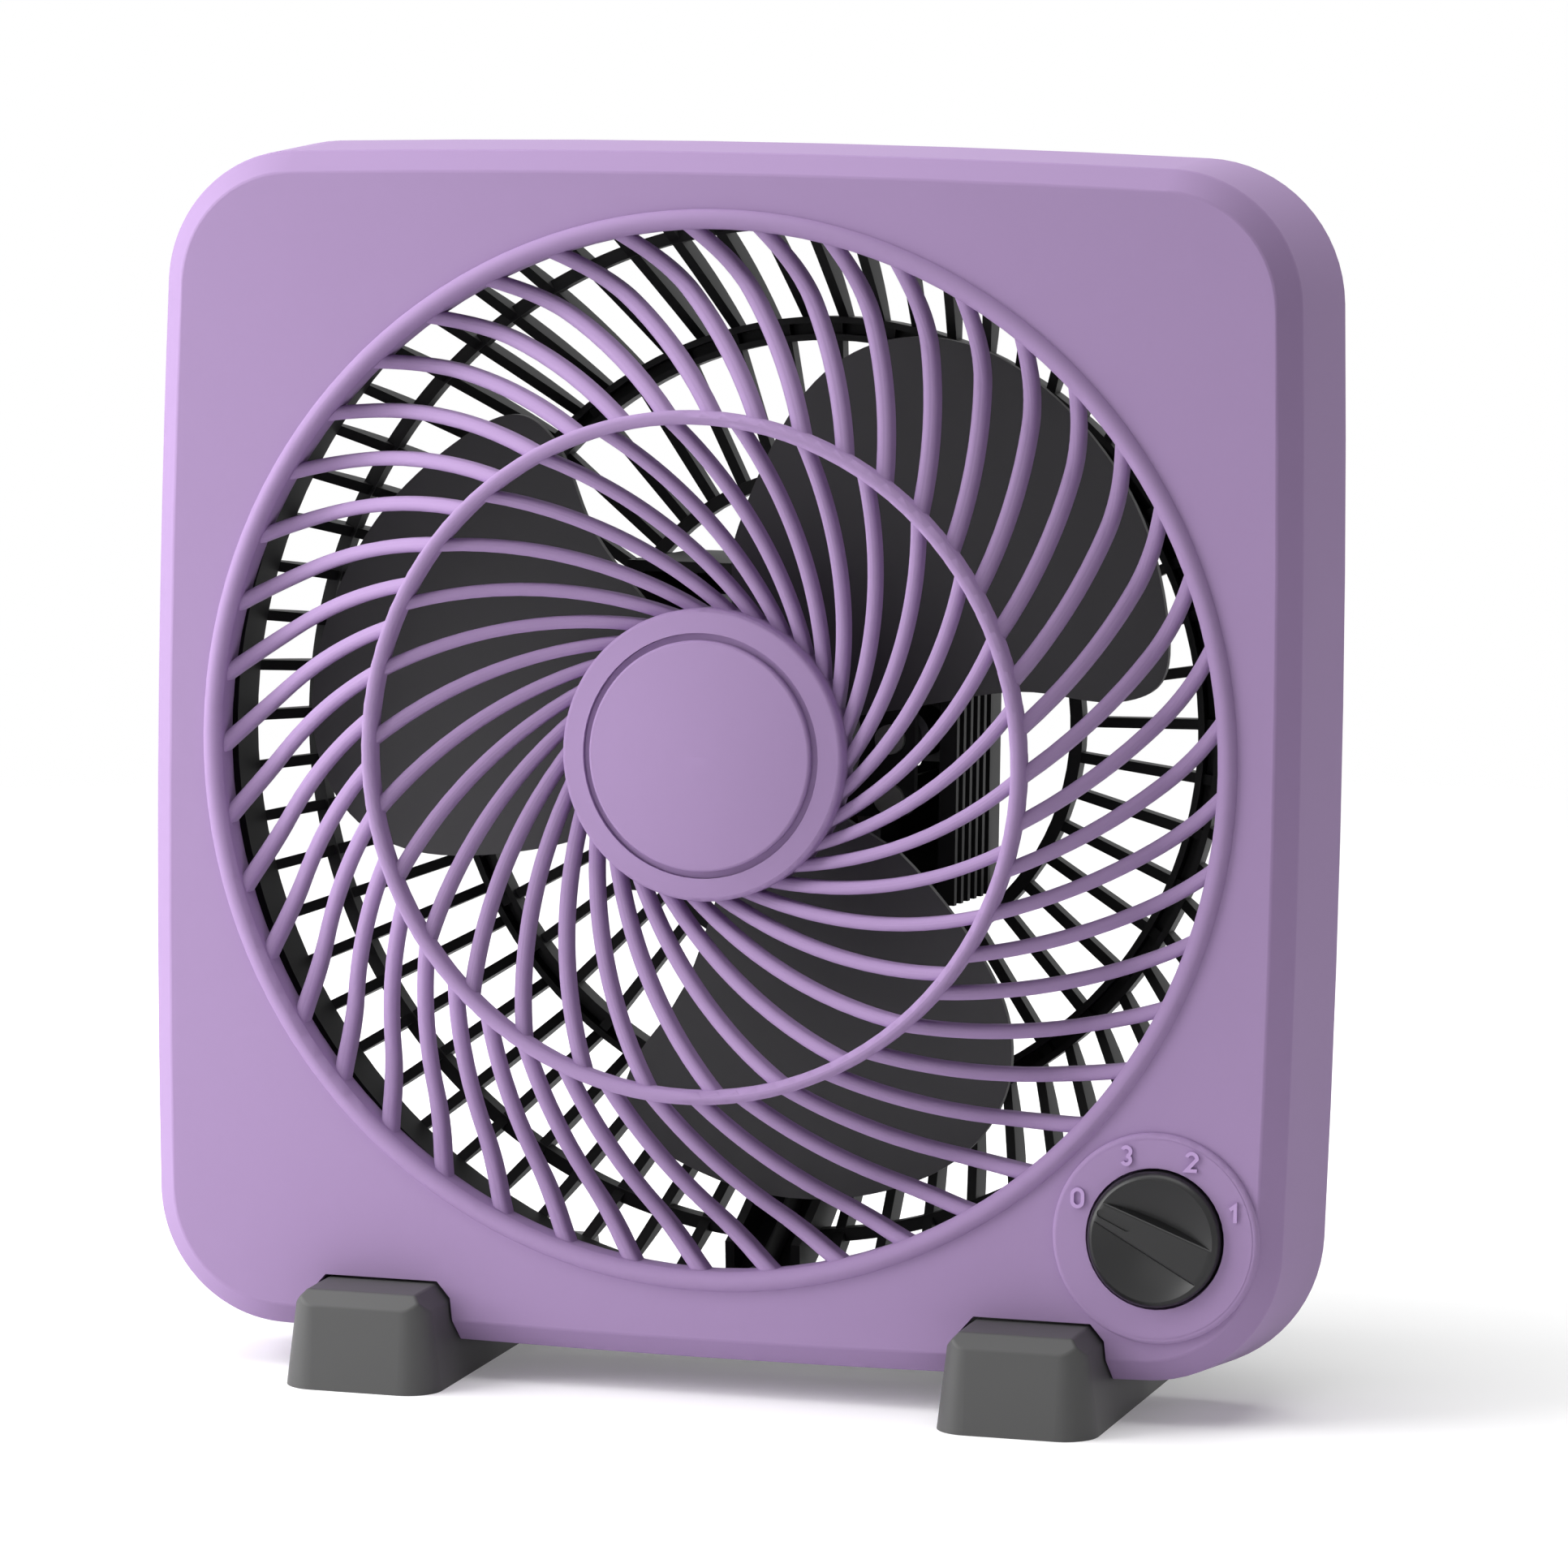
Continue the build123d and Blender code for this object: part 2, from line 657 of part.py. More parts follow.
def nose_edges(foot):
    """Edges round the top of a foot's nose, in front of the panel."""
    upper_edges = foot.edges().filter_by_position(Axis.Z, FOOT_BAR_HEIGHT, AXIS_HEIGHT)
    return upper_edges.filter_by(lambda edge: edge.center().Y < FRONT_Y - NOSE_BITE)


for label, foot_x in FEET.items():
    with BuildPart() as foot:
        with BuildSketch(Plane.XY):
            with Locations((foot_x, (NOSE_FRONT_Y + TAIL_Y) / 2)):
                RectangleRounded(FOOT_WIDTH, NOSE_REACH + TAIL_REACH, FOOT_CORNER)
        extrude(amount=NOSE_TOP_HEIGHT + FOOT_CORNER, taper=FOOT_DRAFT)
        with BuildSketch(Plane.YZ.offset(foot_x)):
            with BuildLine():
                Polyline(
                    (NOSE_FRONT_Y, 0),
                    (NOSE_FRONT_Y, NOSE_BROW),
                    (NOSE_FRONT_Y + NOSE_TOP_HEIGHT - NOSE_BROW, NOSE_TOP_HEIGHT),
                    (NOSE_BACK.Y, NOSE_TOP_HEIGHT),
                    (NOSE_BACK.Y, FOOT_BAR_HEIGHT),
                    (TAIL_Y, FOOT_BAR_HEIGHT),
                    (TAIL_Y, 0),
                    close=True,
                )
            make_face()
        extrude(amount=FOOT_WIDTH, both=True, mode=Mode.INTERSECT)
        with BuildSketch(Plane.XZ):
            with Locations((foot_x, 0)):
                add(nose_outline(0, 0))
        extrude(amount=NOSE_REACH + TAIL_REACH, both=True, mode=Mode.INTERSECT)
        fillet(nose_edges(foot), radius=NOSE_ROUND)
        add(body_clearance.part, mode=Mode.SUBTRACT)
        with BuildSketch(BOTTOM.offset(-FOOT_SEAT_DROP)):
            with Locations(*[(foot_x, depth) for depth in FOOT_SCREW_DEPTHS]):
                Circle(FOOT_SCREW_RADIUS + CLEARANCE_GAP)
        extrude(amount=FOOT_SEAT_DROP, mode=Mode.SUBTRACT)
        with BuildSketch(BOTTOM.offset(-FOOT_SEAT_DROP)):
            with Locations(*[(foot_x, depth) for depth in FOOT_SCREW_DEPTHS]):
                Circle(SCREW_HEAD_RADIUS + HEAD_RECESS_GAP)
        extrude(amount=-AXIS_HEIGHT, mode=Mode.SUBTRACT)
    finish(foot, label)

with BuildPart() as foot_screws:
    with BuildSketch(BOTTOM.offset(-FOOT_SEAT_DROP)):
        with Locations(*FOOT_BOSSES):
            Circle(FOOT_SCREW_RADIUS)
    extrude(amount=FOOT_SCREW_LENGTH)
    with BuildSketch(BOTTOM.offset(-FOOT_SEAT_DROP)):
        with Locations(*FOOT_BOSSES):
            Circle(SCREW_HEAD_RADIUS)
    extrude(amount=-SCREW_HEAD_HEIGHT)
finish(foot_screws, "foot_screws")

# Rear grille: the dome's outline runs from the collar over the shoulder to the channel ring, then inwards
COLLAR_OUTER = COLLAR_RADIUS + COLLAR_WALL
CHANNEL_INNER = CHANNEL_RADIUS - CHANNEL_WIDTH
DOME_START = (COLLAR_OUTER - RIB_BITE, RIB_BITE - COLLAR_BACK)
DOME_SHOULDER = (SHOULDER_RADIUS, -SHOULDER_DEPTH)
DOME_CHANNEL = (CHANNEL_RADIUS - CHANNEL_WALL / 2, RIB_BITE - CHANNEL_DEPTH)
DOME_MIDDLE = (0.0, -COLLAR_FRONT)
INNER_RING_MIDDLE = INNER_RING_RADIUS - INNER_RING_WIDTH / 2
INNER_RING_FRONT = INNER_RING_DEPTH - RIB_DEPTH


def inward(point, amount):
    """Dome point moved towards the middle of the dome."""
    share = amount / hypot(point[0] - DOME_MIDDLE[0], point[1] - DOME_MIDDLE[1])
    return tuple(value + (goal - value) * share for value, goal in zip(point, DOME_MIDDLE))


def dome_band(inner_start, inner_end, depth):
    """Band below the dome's outline from the collar to the channel ring, with given inner corners."""
    with BuildSketch() as band:
        with BuildLine():
            outer = ThreePointArc(DOME_START, DOME_SHOULDER, DOME_CHANNEL)
            inner = ThreePointArc(inner_start, inward(DOME_SHOULDER, depth), inner_end)
            Line(outer @ 0, inner @ 0)
            Line(outer @ 1, inner @ 1)
        make_face()
    return band.sketch


def rib_turns(count, phase, radius):
    """Turns of a row of ribs, leaving out those that would meet the duct at a radius."""
    reach = DUCT_WIDTH / 2 + RIB_THICKNESS
    angles = [phase + index * 360 / count for index in range(count)]
    kept = [a for a in angles if sin(radians(a)) > 0 or abs(radius * cos(radians(a))) > reach]
    return [Location((0, 0, 0), (0, 0, angle)) for angle in kept]


with BuildPart() as side_rib:
    with BuildSketch(Plane.XZ):
        add(dome_band(
            (COLLAR_RADIUS + RIB_BITE, DOME_START[1]),
            (DOME_CHANNEL[0], DOME_CHANNEL[1] + RIB_DEPTH),
            RIB_DEPTH,
        ))
    extrude(amount=RIB_THICKNESS / 2, both=True)

with BuildPart() as back_rib:
    with BuildSketch(Plane.XZ):
        with BuildLine():
            Polyline(
                DOME_CHANNEL,
                (INNER_RING_MIDDLE, RIB_BITE - INNER_RING_DEPTH),
                (INNER_RING_MIDDLE, -INNER_RING_FRONT - RIB_BITE),
                (DOME_CHANNEL[0], DOME_CHANNEL[1] + RIB_DEPTH),
                close=True,
            )
        make_face()
    extrude(amount=RIB_THICKNESS / 2, both=True)

SHOULDER_CENTRE = inward(DOME_SHOULDER, RIB_DEPTH / 2)
DUCT = side_plane(FRONT, 270)
DUCT_HALF = DUCT_WIDTH / 2 - DUCT_WALL
LEAD_LEVEL = DUCT_WALL + LEAD_RADIUS + LEAD_GAP
LEAD_BACK = LEAD_LEVEL - INNER_RING_DEPTH
BOX_INNER = BOX_HALF - BOX_WALL

with BuildPart(FRONT) as rear_grille:
    with BuildSketch(FRONT.offset(-BODY_DEPTH)):
        add(body_outline(draft_growth(FLANGE_FRONT) - WALL - FLANGE_GAP))
        Circle(COLLAR_RADIUS, mode=Mode.SUBTRACT)
    extrude(amount=FLANGE)
    with BuildSketch(FRONT.offset(-COLLAR_BACK)):
        Circle(COLLAR_OUTER)
        Circle(COLLAR_RADIUS, mode=Mode.SUBTRACT)
    extrude(amount=COLLAR_BACK - COLLAR_FRONT)
    with BuildSketch(SIDE):
        with Locations(SHOULDER_CENTRE):
            Rectangle(SHOULDER_RING_WIDTH, SHOULDER_RING_LENGTH)
        with BuildLine():
            Polyline(
                (CHANNEL_RADIUS, -CHANNEL_DEPTH),
                (CHANNEL_RADIUS, CHANNEL_LENGTH - CHANNEL_DEPTH),
                (CHANNEL_RADIUS - CHANNEL_WALL, CHANNEL_LENGTH - CHANNEL_DEPTH),
                (CHANNEL_RADIUS - CHANNEL_WALL, CHANNEL_WALL - CHANNEL_DEPTH),
                (CHANNEL_INNER + CHANNEL_WALL, CHANNEL_WALL - CHANNEL_DEPTH),
                (CHANNEL_INNER + CHANNEL_WALL, CHANNEL_LENGTH - CHANNEL_DEPTH),
                (CHANNEL_INNER, CHANNEL_LENGTH - CHANNEL_DEPTH),
                (CHANNEL_INNER, -CHANNEL_DEPTH),
                close=True,
            )
        make_face()
    revolve(axis=FAN_AXIS)
    with BuildSketch(FRONT.offset(-INNER_RING_DEPTH)):
        with PolarLocations(INNER_RING_RADIUS / 2, CENTRE_RIBS, start_angle=CENTRE_RIB_PHASE):
            Rectangle(INNER_RING_RADIUS, RIB_THICKNESS)
        Circle(INNER_RING_MIDDLE, mode=Mode.INTERSECT)
        Circle(INNER_RING_RADIUS)
        Circle(INNER_RING_RADIUS - INNER_RING_WIDTH, mode=Mode.SUBTRACT)
    extrude(amount=RIB_DEPTH)
    with BuildSketch(DUCT.offset(-DUCT_WIDTH / 2)):
        add(dome_band(inward(DOME_START, DUCT_DEPTH), inward(DOME_CHANNEL, DUCT_DEPTH), DUCT_DEPTH))
        with BuildLine():
            Polyline(
                DOME_CHANNEL,
                (DOME_CHANNEL[0], -INNER_RING_DEPTH),
                (BOX_INNER, -INNER_RING_DEPTH),
                (BOX_INNER, DUCT_DEPTH - INNER_RING_DEPTH),
                inward(DOME_CHANNEL, DUCT_DEPTH),
                close=True,
            )
        make_face()
    extrude(amount=DUCT_WIDTH)
    with BuildSketch(DUCT.offset(-DUCT_HALF)):
        with BuildLine():
            floor = ThreePointArc(
                (COLLAR_RADIUS, DOME_START[1]),
                inward(DOME_SHOULDER, DUCT_WALL),
                inward(DOME_CHANNEL, DUCT_WALL),
            )
            Polyline(
                floor @ 1,
                (inward(DOME_CHANNEL, DUCT_WALL)[0], DUCT_WALL - INNER_RING_DEPTH),
                (BOX_INNER, DUCT_WALL - INNER_RING_DEPTH),
                (BOX_INNER, -BOX_FRONT),
                (CHANNEL_RADIUS, -COLLAR_FRONT),
                (COLLAR_RADIUS, -COLLAR_FRONT),
                floor @ 0,
            )
        make_face()
    extrude(amount=2 * DUCT_HALF, mode=Mode.SUBTRACT)
    with BuildSketch(FRONT.offset(-BOX_BACK)):
        Rectangle(2 * BOX_HALF, 2 * BOX_HALF)
    extrude(amount=BOX_BACK - BOX_FRONT)
    for index in range(FIN_COUNT):
        with BuildSketch(FRONT.offset(-BOX_FRONT - FIN_THICKNESS - index * FIN_PITCH)):
            Rectangle(2 * (BOX_HALF + FIN_REACH), 2 * BOX_HALF)
        extrude(amount=FIN_THICKNESS)
    with BuildSketch(FRONT.offset(BOX_WALL - BOX_BACK)):
        Rectangle(2 * BOX_INNER, 2 * BOX_INNER)
    extrude(amount=BOX_BACK - BOX_WALL, mode=Mode.SUBTRACT)
    with BuildSketch(side_plane(body_plane(0, -BOX_HALF, LEAD_BACK), 0)):
        Circle(LEAD_RADIUS + LEAD_GAP)
    extrude(amount=2 * BOX_WALL, both=True, mode=Mode.SUBTRACT)
    with BuildSketch(FRONT.offset(BOX_WALL / 2 - BOX_BACK)):
        with Locations(*MOTOR_POSTS):
            Circle(MOTOR_POST_RADIUS)
    extrude(amount=BOX_BACK - BOX_WALL / 2 - BRACKET_FRONT - BRACKET_THICKNESS)
    with BuildSketch(FRONT.offset(-BRACKET_FRONT - BRACKET_THICKNESS)):
        with Locations(*MOTOR_POSTS):
            Circle(MOTOR_SCREW_RADIUS + PILOT_GAP)
    extrude(amount=-MOTOR_SCREW_LENGTH, mode=Mode.SUBTRACT)
    with BuildSketch(FRONT.offset(-BOX_BACK)):
        with GridLocations(0, VENT_PITCH, 1, VENT_COUNT):
            SlotOverall(VENT_LENGTH, VENT_WIDTH)
    extrude(amount=BOX_WALL, mode=Mode.SUBTRACT)
    with BuildSketch(FRONT.offset(-BODY_DEPTH)):
        with Locations(*POSTS):
            Circle(HOUSING_SCREW_RADIUS + CLEARANCE_GAP)
        with Locations((GLAND_X, GLAND_Y)):
            Circle(GLAND_BORE + GLAND_WALL)
    extrude(amount=FLANGE, mode=Mode.SUBTRACT)
    with Locations(*rib_turns(SIDE_RIBS, SIDE_RIB_PHASE, COLLAR_RADIUS)):
        add(side_rib.part)
    with Locations(*rib_turns(BACK_RIBS, BACK_RIB_PHASE, INNER_RING_RADIUS)):
        add(back_rib.part)
finish(rear_grille, "rear_grille")

with BuildPart() as housing_screws:
    with BuildSketch(FRONT.offset(-BODY_DEPTH)):
        with Locations(*POSTS):
            Circle(SCREW_HEAD_RADIUS)
    extrude(amount=-SCREW_HEAD_HEIGHT)
    with BuildSketch(FRONT.offset(-BODY_DEPTH)):
        with Locations(*POSTS):
            Circle(HOUSING_SCREW_RADIUS)
    extrude(amount=HOUSING_SCREW_LENGTH)
finish(housing_screws, "housing_screws")

with BuildPart() as cord_gland:
    with BuildSketch(side_plane(body_plane(GLAND_X, GLAND_Y, -BODY_DEPTH), 0)):
        outer = GLAND_BORE + GLAND_WALL - GLAND_GAP
        with BuildLine():
            Polyline(
                (GLAND_BORE, -GLAND_LIP_HEIGHT),
                (outer + GLAND_LIP, -GLAND_LIP_HEIGHT),
                (outer + GLAND_LIP, 0),
                (outer, 0),
                (outer, FLANGE),
                (outer + GLAND_LIP, FLANGE),
                (outer + GLAND_LIP, FLANGE + GLAND_LIP_HEIGHT),
                (GLAND_BORE, FLANGE + GLAND_LIP_HEIGHT),
                close=True,
            )
        make_face()
    revolve(axis=Axis(body_plane(GLAND_X, GLAND_Y).origin, FRONT.z_dir))
finish(cord_gland, "cord_gland")

# Motor: laminated stack with two poles, bobbins and windings, two bearing brackets, rotor and shaft
STACK_BACK = STACK_FRONT + STACK_LENGTH
BRACKET_BACK = BRACKET_FRONT + BRACKET_THICKNESS
REAR_BRACKET_BACK = REAR_BRACKET_FRONT + BRACKET_THICKNESS
ROTOR_FRONT = STACK_FRONT - ROTOR_OVERHANG
ROTOR_BACK = STACK_BACK + ROTOR_OVERHANG
FRONT_BOSS_BACK = ROTOR_FRONT - WASHER_THICKNESS - 2 * WASHER_GAP
REAR_BOSS_FRONT = ROTOR_BACK + WASHER_THICKNESS + 2 * WASHER_GAP
BEARING_LENGTH = FRONT_BOSS_BACK - BOSS_FRONT
REAR_BOSS_BACK = REAR_BOSS_FRONT + BEARING_LENGTH

with BuildPart() as stator_core:
    with BuildSketch(FRONT.offset(-STACK_BACK)):
        Rectangle(2 * STACK_HALF_WIDTH, 2 * STACK_HALF_HEIGHT)
        Rectangle(
            2 * (STACK_HALF_WIDTH - LIMB), 2 * (STACK_HALF_HEIGHT - YOKE), mode=Mode.SUBTRACT
        )
        Rectangle(POLE_WIDTH, 2 * STACK_HALF_HEIGHT)
        Circle(POLE_SHOE_RADIUS)
        Circle(BORE_RADIUS, mode=Mode.SUBTRACT)
        Rectangle(2 * POLE_SHOE_RADIUS, SHOE_GAP, mode=Mode.SUBTRACT)
        with Locations(*EARS):
            Circle(EAR_RADIUS)
            Circle(BOLT_RADIUS + CLEARANCE_GAP, mode=Mode.SUBTRACT)
    extrude(amount=STACK_LENGTH)
finish(stator_core, "stator_core")

COIL_INNER = POLE_SHOE_RADIUS + COIL_END_GAP
COIL_OUTER = STACK_HALF_HEIGHT - YOKE - COIL_END_GAP
BOBBIN_X = POLE_WIDTH / 2 + BOBBIN_GAP
BOBBIN_Z = STACK_LENGTH / 2 + BOBBIN_GAP
COILS = [
    Plane(
        FRONT.from_local_coords((0, sign * COIL_INNER, -STACK_FRONT - STACK_LENGTH / 2)),
        x_dir=FRONT.x_dir,
        z_dir=FRONT.y_dir * sign,
    )
    for sign in (1, -1)
]


def frame_sketch(inner, thickness):
    """Rectangular frame round the pole: its half sizes grown by one amount, with a wall."""
    with BuildSketch() as ring:
        Rectangle(2 * (BOBBIN_X + inner + thickness), 2 * (BOBBIN_Z + inner + thickness))
        Rectangle(2 * (BOBBIN_X + inner), 2 * (BOBBIN_Z + inner), mode=Mode.SUBTRACT)
    return ring.sketch


COIL_HEIGHT = COIL_OUTER - COIL_INNER
with BuildPart() as coil_bobbins:
    for plane in COILS:
        with BuildSketch(plane):
            add(frame_sketch(0, BOBBIN_WALL))
        extrude(amount=COIL_HEIGHT)
        for level in (0, COIL_HEIGHT - BOBBIN_WALL):
            with BuildSketch(plane.offset(level)):
                add(frame_sketch(0, BOBBIN_WALL + WINDING_THICKNESS))
            extrude(amount=BOBBIN_WALL)
finish(coil_bobbins, "coil_bobbins")

with BuildPart() as coil_windings:
    for plane in COILS:
        with BuildSketch(plane.offset(BOBBIN_WALL)):
            add(frame_sketch(BOBBIN_WALL, WINDING_THICKNESS))
        extrude(amount=COIL_HEIGHT - 2 * BOBBIN_WALL)
finish(coil_windings, "coil_windings")


with BuildPart() as front_bracket:
    with BuildSketch(FRONT.offset(-BRACKET_BACK)):
        RectangleRounded(2 * BRACKET_HALF_WIDTH, 2 * BRACKET_HALF_HEIGHT, BRACKET_CORNER)
    extrude(amount=BRACKET_THICKNESS)
    with BuildSketch(FRONT.offset(-STACK_FRONT)):
        with Locations(*EARS):
            Circle(LEG_RADIUS)
    extrude(amount=STACK_FRONT - BRACKET_BACK)
    with BuildSketch(FRONT.offset(-FRONT_BOSS_BACK)):
        Circle(BEARING_RADIUS + PRESS_GAP + BOSS_WALL)
    extrude(amount=FRONT_BOSS_BACK - BOSS_FRONT)
    with BuildSketch(FRONT.offset(-STACK_FRONT)):
        Circle(BEARING_RADIUS + PRESS_GAP)
        with Locations(*EARS):
            Circle(BOLT_RADIUS + CLEARANCE_GAP)
        with Locations(*MOTOR_POSTS):
            Circle(MOTOR_SCREW_RADIUS + CLEARANCE_GAP)
    extrude(amount=STACK_FRONT - BOSS_FRONT, mode=Mode.SUBTRACT)
finish(front_bracket, "front_bracket")

with BuildPart() as rear_bracket:
    with BuildSketch(FRONT.offset(-REAR_BRACKET_BACK)):
        RectangleRounded(2 * BRACKET_HALF_WIDTH, 2 * REAR_BRACKET_HALF_HEIGHT, BRACKET_CORNER)
    extrude(amount=BRACKET_THICKNESS)
    with BuildSketch(FRONT.offset(-REAR_BRACKET_FRONT)):
        with Locations(*EARS):
            Circle(LEG_RADIUS)
    extrude(amount=REAR_BRACKET_FRONT - STACK_BACK)
    with BuildSketch(FRONT.offset(-REAR_BOSS_BACK)):
        Circle(BEARING_RADIUS + PRESS_GAP + BOSS_WALL)
    extrude(amount=BEARING_LENGTH)
    with BuildSketch(FRONT.offset(-REAR_BOSS_BACK)):
        Circle(BEARING_RADIUS + PRESS_GAP)
        with Locations(*EARS):
            Circle(BOLT_RADIUS + PILOT_GAP)
    extrude(amount=REAR_BOSS_BACK - STACK_BACK, mode=Mode.SUBTRACT)
finish(rear_bracket, "rear_bracket")

for label, front in (("front_bearing", BOSS_FRONT), ("rear_bearing", REAR_BOSS_FRONT)):
    with BuildPart() as bearing:
        with BuildSketch(FRONT.offset(-front - BEARING_LENGTH)):
            Circle(BEARING_RADIUS)
            Circle(SHAFT_RADIUS + RUNNING_GAP, mode=Mode.SUBTRACT)
        extrude(amount=BEARING_LENGTH)
    finish(bearing, label)

with BuildPart() as bracket_bolts:
    with BuildSketch(FRONT.offset(-REAR_BRACKET_BACK)):
        with Locations(*EARS):
            Circle(BOLT_RADIUS)
    extrude(amount=REAR_BRACKET_BACK - BRACKET_FRONT)
    with BuildSketch(FRONT.offset(-BRACKET_FRONT)):
        with Locations(*EARS):
            Circle(SCREW_HEAD_RADIUS)
    extrude(amount=SCREW_HEAD_HEIGHT)
finish(bracket_bolts, "bracket_bolts")

with BuildPart() as motor_screws:
    with BuildSketch(FRONT.offset(-BRACKET_FRONT)):
        with Locations(*MOTOR_POSTS):
            Circle(MOTOR_SCREW_RADIUS)
    extrude(amount=-MOTOR_SCREW_LENGTH)
    with BuildSketch(FRONT.offset(-BRACKET_FRONT)):
        with Locations(*MOTOR_POSTS):
            Circle(SCREW_HEAD_RADIUS)
    extrude(amount=SCREW_HEAD_HEIGHT)
finish(motor_screws, "motor_screws")

with BuildPart() as motor_shaft:
    with BuildSketch(FRONT.offset(-REAR_BOSS_BACK)):
        Circle(SHAFT_RADIUS)
    extrude(amount=REAR_BOSS_BACK - SHAFT_TIP)
finish(motor_shaft, "motor_shaft")

with BuildPart() as rotor_core:
    with BuildSketch(FRONT.offset(-ROTOR_BACK)):
        Circle(BORE_RADIUS - AIR_GAP)
        Circle(SHAFT_RADIUS + PRESS_GAP, mode=Mode.SUBTRACT)
    extrude(amount=ROTOR_BACK - ROTOR_FRONT)
finish(rotor_core, "rotor_core")

with BuildPart() as thrust_washers:
    for back in (ROTOR_FRONT - WASHER_GAP, REAR_BOSS_FRONT - WASHER_GAP):
        with BuildSketch(FRONT.offset(-back)):
            Circle(WASHER_RADIUS)
            Circle(SHAFT_RADIUS + PRESS_GAP, mode=Mode.SUBTRACT)
        extrude(amount=WASHER_THICKNESS)
finish(thrust_washers, "thrust_washers")

# Impeller: pitched blades that come forward from their leading to their trailing edge, round a cup hub
BLADE_REACH = max(radius for radius, angle in BLADE_OUTLINE)


def blade_height(share):
    """Height of the blade's middle surface between its leading edge, 0, and its trailing edge, 1."""
    return -BLADE_REAR + (BLADE_REAR - BLADE_FRONT) * share - BLADE_CAMBER * 4 * share * (1 - share)


with BuildPart() as blade:
    for section in range(BLADE_SECTIONS):
        share = section / (BLADE_SECTIONS - 1)
        angle = BLADE_START - BLADE_MARGIN + (BLADE_END - BLADE_START + 2 * BLADE_MARGIN) * share
        height = blade_height(share)
        with BuildSketch(side_plane(Plane.XY, angle)):
            with Locations((IMPELLER_HUB_RADIUS - IMPELLER_HUB_WALL / 2, height)):
                Rectangle(BLADE_REACH, BLADE_THICKNESS, align=(Align.MIN, Align.CENTER))
    loft()
    with BuildSketch(Plane.XY.offset(-BLADE_REAR - BLADE_REACH / 2)):
        with BuildLine():
            edge = Spline(*[polar(radius, angle) for radius, angle in BLADE_OUTLINE])
            Line(edge @ 1, edge @ 0)
        make_face()
    extrude(amount=BLADE_REACH, mode=Mode.INTERSECT)

with BuildPart(FRONT) as impeller:
    with BuildSketch(SIDE):
        with BuildLine():
            Polyline(
                (0, -IMPELLER_HUB_FRONT),
                (IMPELLER_HUB_RADIUS, -IMPELLER_HUB_FRONT),
                (IMPELLER_HUB_RADIUS, -IMPELLER_HUB_BACK),
                (IMPELLER_HUB_RADIUS - IMPELLER_HUB_WALL, -IMPELLER_HUB_BACK),
                (IMPELLER_HUB_RADIUS - IMPELLER_HUB_WALL, -IMPELLER_HUB_FRONT - IMPELLER_HUB_WALL),
                (IMPELLER_BOSS_RADIUS, -IMPELLER_HUB_FRONT - IMPELLER_HUB_WALL),
                (IMPELLER_BOSS_RADIUS, -IMPELLER_HUB_BACK),
                (SHAFT_RADIUS + PRESS_GAP, -IMPELLER_HUB_BACK),
                (SHAFT_RADIUS + PRESS_GAP, -SHAFT_TIP),
                (0, -SHAFT_TIP),
                close=True,
            )
        make_face()
    revolve(axis=FAN_AXIS)
    with PolarLocations(0, BLADE_COUNT):
        add(blade.part)
finish(impeller, "impeller")

# Speed switch behind the dial, its nut, shaft, terminals and knob
with BuildPart() as rotary_switch:
    with BuildSketch(DIAL.offset(SWITCH_SEAT)):
        RectangleRounded(SWITCH_SIZE, SWITCH_SIZE, SWITCH_CORNER)
    extrude(amount=-SWITCH_DEPTH)
    with BuildSketch(DIAL.offset(SWITCH_SEAT)):
        Circle(BUSH_RADIUS)
    extrude(amount=PANEL + BUSH_LENGTH)
    with BuildSketch(DIAL.offset(WELL_FLOOR + BUSH_LENGTH)):
        Circle(SWITCH_SHAFT_RADIUS + RUNNING_GAP)
    extrude(amount=-(BUSH_LENGTH + SWITCH_SHAFT_BACK), mode=Mode.SUBTRACT)
finish(rotary_switch, "rotary_switch")

with BuildPart() as switch_terminals:
    with BuildSketch(DIAL.offset(SWITCH_SEAT - SWITCH_DEPTH)):
        with PolarLocations(TERMINAL_CIRCLE, TERMINAL_COUNT, start_angle=90):
            Rectangle(TERMINAL_THICKNESS, TERMINAL_WIDTH)
    extrude(amount=-TERMINAL_LENGTH)
finish(switch_terminals, "switch_terminals")

with BuildPart() as switch_nut:
    with BuildSketch(DIAL.offset(WELL_FLOOR)):
        RegularPolygon(NUT_RADIUS, 6)
        Circle(BUSH_RADIUS + PILOT_GAP, mode=Mode.SUBTRACT)
    extrude(amount=NUT_HEIGHT)
finish(switch_nut, "switch_nut")

with BuildPart() as switch_shaft:
    with BuildSketch(DIAL.offset(WELL_FLOOR - SWITCH_SHAFT_BACK + RUNNING_GAP)):
        Circle(SWITCH_SHAFT_RADIUS)
    extrude(amount=SWITCH_SHAFT_BACK + SWITCH_SHAFT_FRONT)
finish(switch_shaft, "switch_shaft")

KNOB_BOTTOM = WELL_FLOOR + KNOB_GAP
KNOB_TOP = KNOB_BOTTOM + KNOB_HEIGHT
POINTER = Plane(DIAL.origin, x_dir=side_plane(DIAL, DIAL_OFF_ANGLE).x_dir, z_dir=DIAL.z_dir)

DISH_RADIUS = KNOB_RADIUS - KNOB_RIM
GRIP_REACH = KNOB_RADIUS + KNOB_RIM

with BuildPart() as knob_disc:
    with BuildSketch(POINTER.offset(KNOB_BOTTOM)):
        Circle(KNOB_RADIUS)
    extrude(amount=KNOB_HEIGHT)
    fillet(knob_disc.faces().sort_by(DIAL_AXIS)[-1].edges(), radius=KNOB_ROUND)

